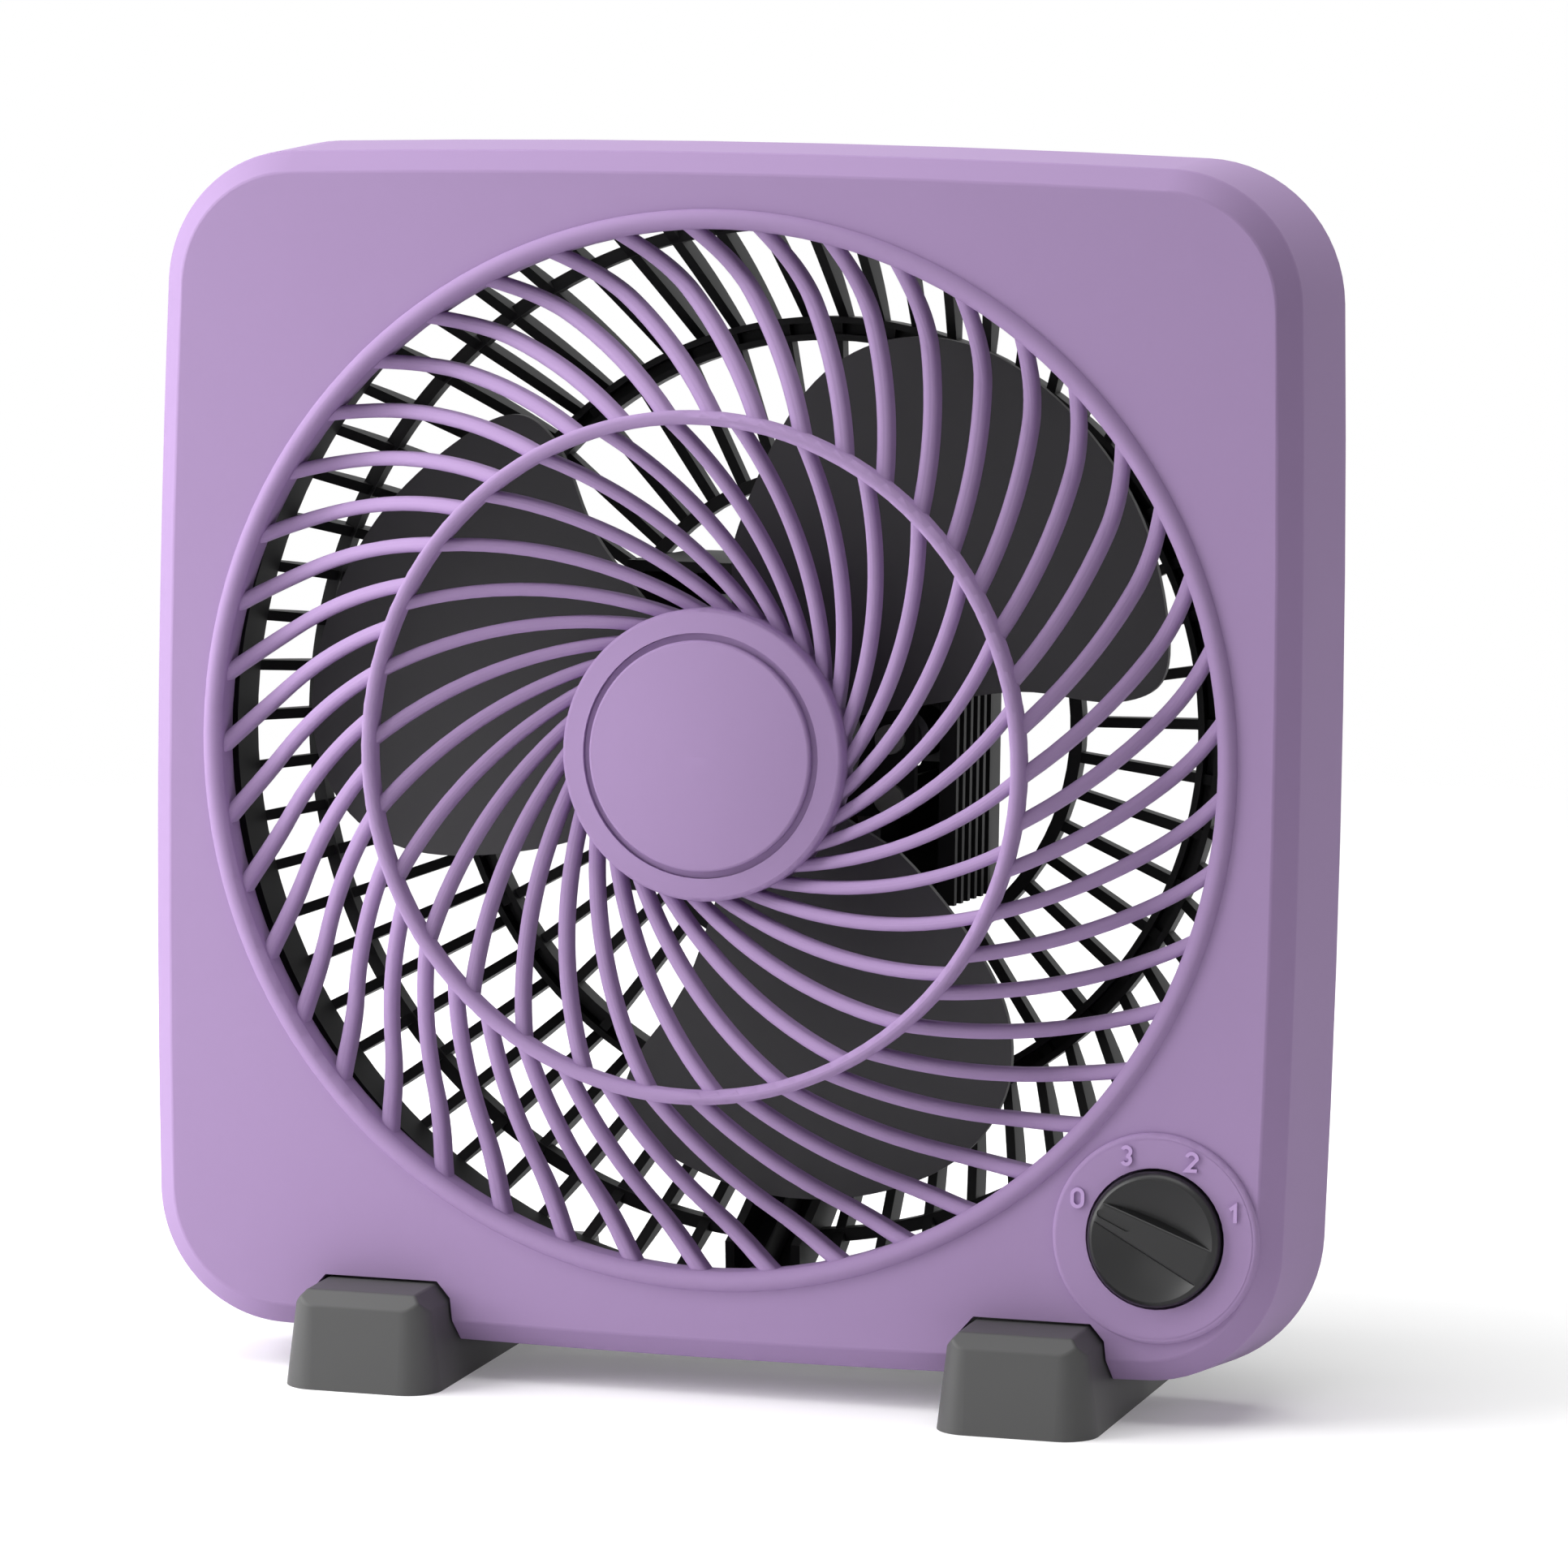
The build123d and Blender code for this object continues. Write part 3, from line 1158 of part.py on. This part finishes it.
with BuildPart() as grip:
    for level, taper in ((KNOB_TOP - GRIP_HEIGHT, 0), (KNOB_TOP, GRIP_TAPER)):
        with BuildSketch(POINTER.offset(level)):
            with BuildLine():
                Polyline(
                    (GRIP_REACH, GRIP_POINTER_HALF - taper),
                    (-GRIP_REACH, GRIP_TAIL_HALF - taper),
                    (-GRIP_REACH, taper - GRIP_TAIL_HALF),
                    (GRIP_REACH, taper - GRIP_POINTER_HALF),
                    close=True,
                )
            make_face()
    loft(ruled=True)
    top_edges = grip.faces().sort_by(DIAL_AXIS)[-1].edges()
    fillet(top_edges.filter_by(lambda edge: edge.length > KNOB_RADIUS), radius=GRIP_ROUND)
    add(knob_disc.part, mode=Mode.INTERSECT)

with BuildPart() as control_knob:
    add(knob_disc.part)
    with BuildSketch(side_plane(DIAL, 0)):
        with BuildLine():
            Polyline((0, KNOB_TOP - DISH_DEPTH), (0, KNOB_TOP), (DISH_RADIUS, KNOB_TOP))
            TangentArc((0, KNOB_TOP - DISH_DEPTH), (DISH_RADIUS, KNOB_TOP), tangent=(1, 0))
        make_face()
    revolve(axis=DIAL_AXIS, mode=Mode.SUBTRACT)
    add(grip.part)
    with BuildSketch(POINTER.offset(KNOB_TOP)):
        with Locations((KNOB_RADIUS - POINTER_INSET - POINTER_LENGTH / 2, 0)):
            SlotOverall(POINTER_LENGTH, POINTER_WIDTH)
    extrude(amount=-POINTER_DEPTH, mode=Mode.SUBTRACT)
    with BuildSketch(POINTER.offset(KNOB_BOTTOM)):
        Circle(KNOB_HOLLOW_RADIUS)
    extrude(amount=KNOB_HOLLOW_HEIGHT, mode=Mode.SUBTRACT)
    with BuildSketch(POINTER.offset(KNOB_BOTTOM)):
        Circle(SWITCH_SHAFT_RADIUS + PRESS_GAP)
    extrude(amount=SWITCH_SHAFT_FRONT + RUNNING_GAP - KNOB_GAP, mode=Mode.SUBTRACT)
finish(control_knob, "control_knob")

# Sheathed lead from the switch along the bottom of the shell, up the duct and into the motor box
LEAD_START = SWITCH_SEAT - SWITCH_DEPTH - TERMINAL_LENGTH
LEAD_TURN = LEAD_START - LEAD_DROP
LEAD_LOW = WALL - BODY_BOTTOM + LEAD_RADIUS + LEAD_LIFT
LEAD_DUCT = LEAD_GAP + LEAD_RADIUS - COLLAR_RADIUS
LEAD_SHOULDER = inward(DOME_SHOULDER, LEAD_LEVEL)
LEAD_CHANNEL = inward(DOME_CHANNEL, LEAD_LEVEL)
LEAD_SLOPE = (LEAD_SHOULDER[0] - LEAD_CHANNEL[0]) / (LEAD_SHOULDER[1] - LEAD_CHANNEL[1])
LEAD_CORNER = LEAD_CHANNEL[0] + LEAD_SLOPE * (LEAD_BACK - LEAD_CHANNEL[1])
LEAD_TERMINAL = polar(TERMINAL_CIRCLE, LEAD_TERMINAL_ANGLE)
LEAD_X = DIAL_X + LEAD_TERMINAL[0]
LEAD_Y = DIAL_Y + LEAD_TERMINAL[1]
LEAD_END = -STACK_BACK - LEAD_RADIUS - 2 * LEAD_GAP
LEAD_ROUTE = [
    (LEAD_X, LEAD_Y, LEAD_START),
    (LEAD_X, LEAD_Y, LEAD_TURN),
    (LEAD_LOW_X, LEAD_LOW, LEAD_TURN),
    (0, LEAD_DUCT, LEAD_TURN),
    (0, LEAD_DUCT, -COLLAR_BACK),
    (0, -LEAD_SHOULDER[0], LEAD_SHOULDER[1]),
    (0, -LEAD_CORNER, LEAD_BACK),
    (0, -STACK_HALF_HEIGHT, LEAD_BACK),
    (0, -STACK_HALF_HEIGHT, LEAD_END),
    (0, -COIL_OUTER, LEAD_END),
]
with BuildPart() as motor_lead:
    with BuildLine(FRONT) as route:
        FilletPolyline(*LEAD_ROUTE, radius=LEAD_BEND)
    with BuildSketch(Plane(route.line @ 0, z_dir=route.line % 0)):
        Circle(LEAD_RADIUS)
    sweep()
finish(motor_lead, "motor_lead")
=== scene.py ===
"""Looks of a small purple box fan: finishes, floor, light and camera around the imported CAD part."""

import json
import logging
import math
from dataclasses import dataclass, field, replace
from enum import Enum
from typing import Dict, List, Mapping, Sequence, Tuple, Union

import bmesh
import bpy
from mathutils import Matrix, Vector

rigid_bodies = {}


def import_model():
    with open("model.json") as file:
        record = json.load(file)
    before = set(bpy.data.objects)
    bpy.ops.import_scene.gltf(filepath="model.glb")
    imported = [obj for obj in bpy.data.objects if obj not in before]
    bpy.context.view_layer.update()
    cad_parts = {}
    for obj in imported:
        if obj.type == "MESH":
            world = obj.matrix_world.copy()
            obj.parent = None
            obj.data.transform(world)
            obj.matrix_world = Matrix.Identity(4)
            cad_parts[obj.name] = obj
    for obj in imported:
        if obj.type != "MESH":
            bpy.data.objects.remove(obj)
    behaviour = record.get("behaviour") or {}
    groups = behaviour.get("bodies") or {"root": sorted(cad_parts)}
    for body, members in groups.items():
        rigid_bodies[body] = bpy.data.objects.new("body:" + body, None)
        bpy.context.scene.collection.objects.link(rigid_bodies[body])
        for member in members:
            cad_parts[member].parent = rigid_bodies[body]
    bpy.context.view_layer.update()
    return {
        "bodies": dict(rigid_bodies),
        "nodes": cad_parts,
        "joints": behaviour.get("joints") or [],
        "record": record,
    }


LOG = logging.getLogger("box_fan")
LEAN = math.radians(3.0)
FAN_AXIS = (0.0, -math.cos(LEAN), math.sin(LEAN))
BODY_MIDDLE = (0.0, 0.0, 0.14)
WHITE = (1.0, 1.0, 1.0, 1.0)
SHOWING_RAYS = ("Is Camera Ray", "Is Glossy Ray", "Is Transmission Ray")

Colour = Tuple[float, float, float]
Point = Tuple[float, float, float]
Operand = Union["Sock", float]
Settings = Mapping[str, object]
Inputs = Mapping[Union[str, int], object]


class Pattern(Enum):
    """What a finish can carry over its grain: nothing, stripes, or a painted highlight on the tops of
    raised marks.
    """

    PLAIN = "plain"
    STRIPED = "striped"
    PAINTED_HIGHLIGHT = "raised"


class Graph:
    """A node tree that grows through one method."""

    def __init__(self, tree: bpy.types.NodeTree) -> None:
        """Take over a node tree and empty it.

        Args:
            tree: node tree of a material or of the surroundings.
        """
        self.tree = tree
        tree.nodes.clear()

    def node(self, kind: str, settings: Settings, inputs: Inputs) -> bpy.types.Node:
        """Add a node.

        Args:
            kind: type of the node.
            settings: properties of the node, set first.
            inputs: values or links of its sockets, by name or number.

        Returns:
            The new node.
        """
        made = self.tree.nodes.new(kind)
        for name, value in settings.items():
            setattr(made, name, value)
        for key, value in inputs.items():
            if isinstance(value, Sock):
                self.tree.links.new(value.socket, made.inputs[key])
            else:
                made.inputs[key].default_value = value
        return made

    def output(self, kind: str, result: str, settings: Settings, inputs: Inputs) -> "Sock":
        """Add a node and take one of its outputs.

        Args:
            kind: type of the node.
            result: name of the output.
            settings: properties of the node, set first.
            inputs: values or links of its sockets, by name or number.

        Returns:
            The output as a shader value.
        """
        return Sock(self, self.node(kind, settings, inputs).outputs[result])

    def object_place(self) -> "Sock":
        """Give the place of a surface point in its object's own coordinates.

        Returns:
            The place as a vector.
        """
        return self.output("ShaderNodeTexCoord", "Object", {}, {})

    def looked_at(self) -> "Sock":
        """Tell the rays that show a thing from those that carry its light to others.

        Returns:
            1 where the camera, a mirroring or a clear surface looks, else 0.
        """
        path = self.node("ShaderNodeLightPath", {}, {})
        camera, glossy, through = [Sock(self, path.outputs[ray]) for ray in SHOWING_RAYS]
        return (camera + glossy + through).clamped(0.0, 1.0)


class Sock:
    """A shader value: an output socket with ordinary arithmetic."""

    def __init__(self, graph: Graph, socket: bpy.types.NodeSocket) -> None:
        """Wrap a socket.

        Args:
            graph: graph that holds the socket.
            socket: output socket of one of its nodes.
        """
        self.graph = graph
        self.socket = socket

    def _math(self, operation: str, first: Operand, second: Operand) -> "Sock":
        """Join two operands with a math node.

        Args:
            operation: name of the math operation.
            first: left operand.
            second: right operand.

        Returns:
            The result as a shader value.
        """
        operands = {0: first, 1: second}
        return self.graph.output("ShaderNodeMath", "Value", {"operation": operation}, operands)

    def __add__(self, other: Operand) -> "Sock":
        """Add a value.

        Args:
            other: value to add.

        Returns:
            The sum.
        """
        return self._math("ADD", self, other)

    def __radd__(self, other: Operand) -> "Sock":
        """Add to a value.

        Args:
            other: value to add to.

        Returns:
            The sum.
        """
        return self._math("ADD", other, self)

    def __sub__(self, other: Operand) -> "Sock":
        """Take a value away.

        Args:
            other: value to take away.

        Returns:
            The difference.
        """
        return self._math("SUBTRACT", self, other)

    def __rsub__(self, other: Operand) -> "Sock":
        """Take away from a value.

        Args:
            other: value to take away from.

        Returns:
            The difference.
        """
        return self._math("SUBTRACT", other, self)

    def __mul__(self, other: Operand) -> "Sock":
        """Multiply by a value.

        Args:
            other: value to multiply by.

        Returns:
            The product.
        """
        return self._math("MULTIPLY", self, other)

    def __rmul__(self, other: Operand) -> "Sock":
        """Multiply a value.

        Args:
            other: value to multiply.

        Returns:
            The product.
        """
        return self._math("MULTIPLY", other, self)

    def clamped(self, low: float, high: float) -> "Sock":
        """Keep the value between two limits.

        Args:
            low: least value.
            high: greatest value.

        Returns:
            The limited value.
        """
        return self._math("MINIMUM", self._math("MAXIMUM", self, low), high)

    def wave(self, pitch: float) -> "Sock":
        """Turn a length into an even wave between 0 and 1.

        Args:
            pitch: length of one wave, in metres.

        Returns:
            The wave's height.
        """
        return self._math("SINE", self * (2 * math.pi / pitch), 0.0) * 0.5 + 0.5


@dataclass(frozen=True)
class Finish:
    """A finish whose colour, roughness and relief all vary a little over the surface."""

    name: str
    colour: Colour
    roughness: float = 0.4
    metallic: float = 0.0
    specular: float = 0.5
    mottle: float = 0.03
    mottle_scale: float = 28.0
    mottle_detail: float = 4.0
    roughness_spread: float = 0.05
    roughness_least: float = 0.04
    sink_strength: float = 0.04
    sink_height: float = 0.0004
    grain_scale: float = 2600.0
    grain_detail: float = 2.0
    grain_strength: float = 0.06
    grain_height: float = 0.00001
    pattern: Pattern = Pattern.PLAIN
    stripe_pitch: float = 0.0005
    pattern_axis: Point = FAN_AXIS
    stripe_depth: float = 0.5
    stripe_grain: float = 0.2
    raised_start: float = 0.0491
    raised_end: float = 0.0494
    # share by which the painted highlight lightens the tops of raised marks
    painted_highlight_gain: float = 0.4

    def noise(self, graph: Graph, scale: float, detail: float) -> Sock:
        """Add a noise over the object's own coordinates.

        Args:
            graph: graph to add to.
            scale: noise cells in a metre.
            detail: octaves of detail.

        Returns:
            The noise, from -0.5 to 0.5.
        """
        inputs = {"Vector": graph.object_place(), "Scale": scale, "Detail": detail}
        return graph.output("ShaderNodeTexNoise", "Fac", {}, inputs) - 0.5

    def along(self, graph: Graph) -> Sock:
        """Measure how far a point lies along the pattern's axis.

        Args:
            graph: graph to add to.

        Returns:
            The distance in metres.
        """
        inputs = {0: graph.object_place(), 1: self.pattern_axis}
        return graph.output("ShaderNodeVectorMath", "Value", {"operation": "DOT_PRODUCT"}, inputs)

    def raised(self, graph: Graph) -> Sock:
        """Find what stands proud of the panel, such as the digits of the dial, to mask the painted
        highlight on their tops.

        Args:
            graph: graph to add to.

        Returns:
            0 on the panel and 1 on top of what stands proud.
        """
        height = self.raised_end - self.raised_start
        return ((self.along(graph) - self.raised_start) * (1 / height)).clamped(0.0, 1.0)

    def tint(self, graph: Graph, level: Sock) -> Sock:
        """Scale the finish's colour by a level.

        Args:
            graph: graph to add to.
            level: brightness around 1.

        Returns:
            The colour.
        """
        channels = zip(("Red", "Green", "Blue"), self.colour)
        inputs = {channel: (level * value).clamped(0.0, 1.0) for channel, value in channels}
        return graph.output("ShaderNodeCombineColor", "Color", {}, inputs)

    def relief(self, graph: Graph, cloud: Sock, fine: Sock) -> Sock:
        """Put shallow waves and a fine grain on the surface.

        Args:
            graph: graph to add to.
            cloud: height of the shallow waves.
            fine: height of the grain or pattern.

        Returns:
            The normal.
        """
        waves = {"Height": cloud, "Strength": self.sink_strength, "Distance": self.sink_height}
        sunk = graph.output("ShaderNodeBump", "Normal", {}, waves)
        grain = {"Height": fine, "Strength": self.grain_strength, "Distance": self.grain_height}
        return graph.output("ShaderNodeBump", "Normal", {}, {**grain, "Normal": sunk})

    def shader(self, graph: Graph) -> Sock:
        """Build the finish in a graph.

        Args:
            graph: graph to add to.

        Returns:
            The surface.
        """
        cloud = self.noise(graph, self.mottle_scale, self.mottle_detail)
        fine = self.noise(graph, self.grain_scale, self.grain_detail)
        level = 1.0 + cloud * (2 * self.mottle)
        rough = self.roughness + cloud * (2 * self.roughness_spread)
        if self.pattern is Pattern.STRIPED:
            stripes = self.along(graph).wave(self.stripe_pitch)
            level = level * (1.0 - (1.0 - stripes) * self.stripe_depth)
            fine = stripes + fine * self.stripe_grain
        # painted highlight: the tops of raised marks, such as the dial's digits, are coloured lighter
        # than the panel
        if self.pattern is Pattern.PAINTED_HIGHLIGHT:
            level = level * (1.0 + self.raised(graph) * self.painted_highlight_gain)
        inputs = {
            "Base Color": self.tint(graph, level),
            "Roughness": rough.clamped(self.roughness_least, 1.0),
            "Metallic": self.metallic,
            "Specular IOR Level": self.specular,
            "Normal": self.relief(graph, cloud, fine),
        }
        return graph.output("ShaderNodeBsdfPrincipled", "BSDF", {}, inputs)

    def material(self) -> bpy.types.Material:
        """Build the finish as a material of its own.

        Returns:
            The material.
        """
        made = bpy.data.materials.new(self.name)
        made.use_nodes = True
        graph = Graph(made.node_tree)
        graph.node("ShaderNodeOutputMaterial", {}, {"Surface": self.shader(graph)})
        return made


PURPLE = Finish("purple_satin", (0.36, 0.25, 0.442), roughness=0.48, specular=0.03, mottle=0.012)
# the panel's finish carries a painted highlight on the tops of the dial's raised digits
PANEL = replace(PURPLE, name="purple_panel", pattern=Pattern.PAINTED_HIGHLIGHT)
BLACK = Finish("black_satin", (0.012, 0.012, 0.0125), roughness=0.55, specular=0.2, mottle=0.05)
FOOT_GREY = Finish(
    "foot_grey", (0.074, 0.074, 0.074), roughness=0.5, specular=0.3, grain_strength=0.12
)
KNOB_GREY = Finish("knob_grey", (0.012, 0.012, 0.0125), roughness=0.33, specular=0.35)
BLADE_GREY = Finish("blade_grey", (0.055, 0.054, 0.056), roughness=0.5, specular=0.35)
STEEL = Finish("zinc_steel", (0.36, 0.36, 0.35), roughness=0.42, metallic=1.0, mottle=0.06)
CASTING = Finish("casting", (0.5, 0.5, 0.5), roughness=0.5, metallic=1.0, grain_strength=0.25)
SHEETS = Finish(
    "lamination", (0.2, 0.2, 0.21), roughness=0.45, metallic=1.0, grain_strength=0.4,
    pattern=Pattern.STRIPED,
)
ROTOR = Finish("rotor_metal", (0.5, 0.5, 0.5), roughness=0.35, metallic=1.0)
BRONZE = Finish("bronze", (0.5, 0.34, 0.18), roughness=0.45, metallic=1.0)
BRASS = Finish("brass", (0.7, 0.52, 0.24), roughness=0.3, metallic=1.0)
COPPER = Finish(
    "winding", (0.42, 0.15, 0.06), roughness=0.3, metallic=0.6, grain_strength=0.6,
    pattern=Pattern.STRIPED, stripe_pitch=0.0004, pattern_axis=(0.0, 0.05, 1.0), stripe_depth=0.6,
)
NYLON = Finish("white_nylon", (0.75, 0.73, 0.68), roughness=0.45)
RUBBER = Finish("rubber", (0.018, 0.018, 0.018), roughness=0.6, specular=0.35)
PAPER = Finish("floor_paper", (0.9, 0.9, 0.9), roughness=0.9, specular=0.0, mottle=0.004)


@dataclass
class Assembly:
    """A group of CAD nodes with one finish each."""

    finishes: Dict[str, Finish]

    def dress(self, frame: Dict, made: Dict[str, bpy.types.Material]) -> None:
        """Give every node of the group its finish.

        Args:
            made: materials built so far, by finish name; new ones are added.
        """
        for node, finish in self.finishes.items():
            if finish.name not in made:
                made[finish.name] = finish.material()
            for slot in frame["nodes"][node].material_slots:
                slot.material = made[finish.name]
            LOG.info("dressed %s in %s", node, finish.name)


@dataclass
class Shell(Assembly):
    """Purple shell with its round front grille and hub cap."""

    finishes: Dict[str, Finish] = field(
        default_factory=lambda: {"front_housing": PANEL, "front_grille": PURPLE, "hub_cap": PURPLE}
    )


@dataclass
class Rear(Assembly):
    """Black rear grille with its screws, gland and lead."""

    finishes: Dict[str, Finish] = field(
        default_factory=lambda: {
            "rear_grille": BLACK,
            "housing_screws": STEEL,
            "cord_gland": RUBBER,
            "motor_lead": RUBBER,
        }
    )


@dataclass
class Feet(Assembly):
    """Grey feet and their screws."""

    finishes: Dict[str, Finish] = field(
        default_factory=lambda: {
            "left_foot": FOOT_GREY,
            "right_foot": FOOT_GREY,
            "foot_screws": STEEL,
        }
    )


@dataclass
class Motor(Assembly):
    """Shaded-pole motor in its box, and the impeller it turns."""

    finishes: Dict[str, Finish] = field(
        default_factory=lambda: {
            "stator_core": SHEETS,
            "coil_bobbins": NYLON,
            "coil_windings": COPPER,
            "front_bracket": BLACK,
            "rear_bracket": CASTING,
            "front_bearing": BRONZE,
            "rear_bearing": BRONZE,
            "bracket_bolts": STEEL,
            "motor_screws": STEEL,
            "motor_shaft": STEEL,
            "rotor_core": ROTOR,
            "thrust_washers": STEEL,
            "impeller": BLADE_GREY,
        }
    )


@dataclass
class Control(Assembly):
    """Speed switch and knob."""

    finishes: Dict[str, Finish] = field(
        default_factory=lambda: {
            "rotary_switch": BLACK,
            "switch_terminals": BRASS,
            "switch_nut": STEEL,
            "switch_shaft": STEEL,
            "control_knob": KNOB_GREY,
        }
    )


@dataclass
class Lamp:
    """A square studio lamp aimed at a point."""

    name: str
    place: Point
    target: Point
    size: float
    power: float

    def build(self) -> None:
        """Make the lamp."""
        light = bpy.data.lights.new(self.name, "AREA")
        light.size = self.size
        light.energy = self.power
        lamp = bpy.data.objects.new(self.name, light)
        lamp.location = self.place
        aim = Vector(self.target) - Vector(self.place)
        lamp.rotation_euler = aim.to_track_quat("-Z", "Y").to_euler()
        bpy.context.scene.collection.objects.link(lamp)
        LOG.info("built lamp %s", self.name)


@dataclass
class Studio:
    """Floor, surroundings, lamps and camera."""

    camera_place: Point = (0.5438, -1.7164, 0.3957)
    camera_aim: Point = (-0.2965, 0.9441, -0.1441)
    camera_lens: float = 182.7
    camera_sensor: float = 36.0
    camera_reach: float = 50.0
    floor_half: float = 3.0
    floor_clear: float = 0.55
    floor_gone: float = 0.95
    floor_lift: float = 0.17
    ambient: float = 0.1
    lamps: Sequence[Lamp] = (
        Lamp("key", (-0.85, -0.35, 0.5), BODY_MIDDLE, 0.9, 14.4),
        Lamp("top", (-0.2, 0.15, 2.2), (-0.1, 0.15, 0.0), 2.6, 56.0),
        Lamp("rim", (1.3, 0.9, 0.6), BODY_MIDDLE, 0.8, 3.6),
        Lamp("fill", (-0.5, -1.5, 0.35), (0.0, -0.1, 0.0), 1.0, 2.5),
    )

    def build_floor(self) -> None:
        """Make the floor that takes the shadow and fades into the white surroundings."""
        mesh = bpy.data.meshes.new("floor")
        shape = bmesh.new()
        bmesh.ops.create_grid(shape, x_segments=1, y_segments=1, size=self.floor_half)
        shape.to_mesh(mesh)
        shape.free()
        floor = bpy.data.objects.new("floor", mesh)
        bpy.context.scene.collection.objects.link(floor)
        mesh.materials.append(self.floor_material())
        LOG.info("built floor")

    def floor_material(self) -> bpy.types.Material:
        """Build the floor's paper, shown a little paler than it is lit and clear further out.

        Returns:
            The material.
        """
        made = bpy.data.materials.new(PAPER.name)
        made.use_nodes = True
        graph = Graph(made.node_tree)
        place = {0: graph.object_place()}
        away = graph.output("ShaderNodeVectorMath", "Value", {"operation": "LENGTH"}, place)
        share = (away - self.floor_clear) * (1 / (self.floor_gone - self.floor_clear))
        clear = graph.output("ShaderNodeBsdfTransparent", "BSDF", {}, {})
        paper = PAPER.shader(graph)
        lift = graph.output("ShaderNodeEmission", "Emission", {}, {"Strength": self.floor_lift})
        paler = graph.output("ShaderNodeAddShader", "Shader", {}, {0: paper, 1: lift})
        rays = {"Fac": graph.looked_at(), 1: paper, 2: paler}
        shown = graph.output("ShaderNodeMixShader", "Shader", {}, rays)
        layers = {"Fac": share.clamped(0.0, 1.0), 1: shown, 2: clear}
        surface = graph.output("ShaderNodeMixShader", "Shader", {}, layers)
        graph.node("ShaderNodeOutputMaterial", {}, {"Surface": surface})
        return made

    def build_world(self) -> None:
        """Make surroundings that light softly and show as white behind the object."""
        world = bpy.data.worlds.new("studio")
        bpy.context.scene.world = world
        world.use_nodes = True
        graph = Graph(world.node_tree)
        soft, seen = [
            graph.output(
                "ShaderNodeBackground", "Background", {}, {"Color": WHITE, "Strength": strength}
            )
            for strength in (self.ambient, 1.0)
        ]
        layers = {"Fac": graph.looked_at(), 1: soft, 2: seen}
        surface = graph.output("ShaderNodeMixShader", "Shader", {}, layers)
        graph.node("ShaderNodeOutputWorld", {}, {"Surface": surface})
        LOG.info("built surroundings")

    def build_camera(self) -> None:
        """Make the camera at the photo's angle."""
        data = bpy.data.cameras.new("camera")
        data.lens = self.camera_lens
        data.sensor_width = self.camera_sensor
        data.clip_end = self.camera_reach
        camera = bpy.data.objects.new("camera", data)
        camera.location = self.camera_place
        camera.rotation_euler = Vector(self.camera_aim).to_track_quat("-Z", "Y").to_euler()
        bpy.context.scene.collection.objects.link(camera)
        bpy.context.scene.camera = camera
        LOG.info("built camera")

    def build(self) -> None:
        """Make the whole studio."""
        self.build_floor()
        self.build_world()
        self.build_camera()
        for lamp in self.lamps:
            lamp.build()
        bpy.context.scene.view_settings.view_transform = "Standard"


def main() -> None:
    """Load the part, dress it, and light it."""
    logging.basicConfig(level=logging.INFO)
    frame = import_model()
    made: Dict[str, bpy.types.Material] = {}
    for assembly in (Shell(), Rear(), Feet(), Motor(), Control()):
        assembly.dress(frame, made)
    Studio().build()


if __name__ == "__main__":
    main()
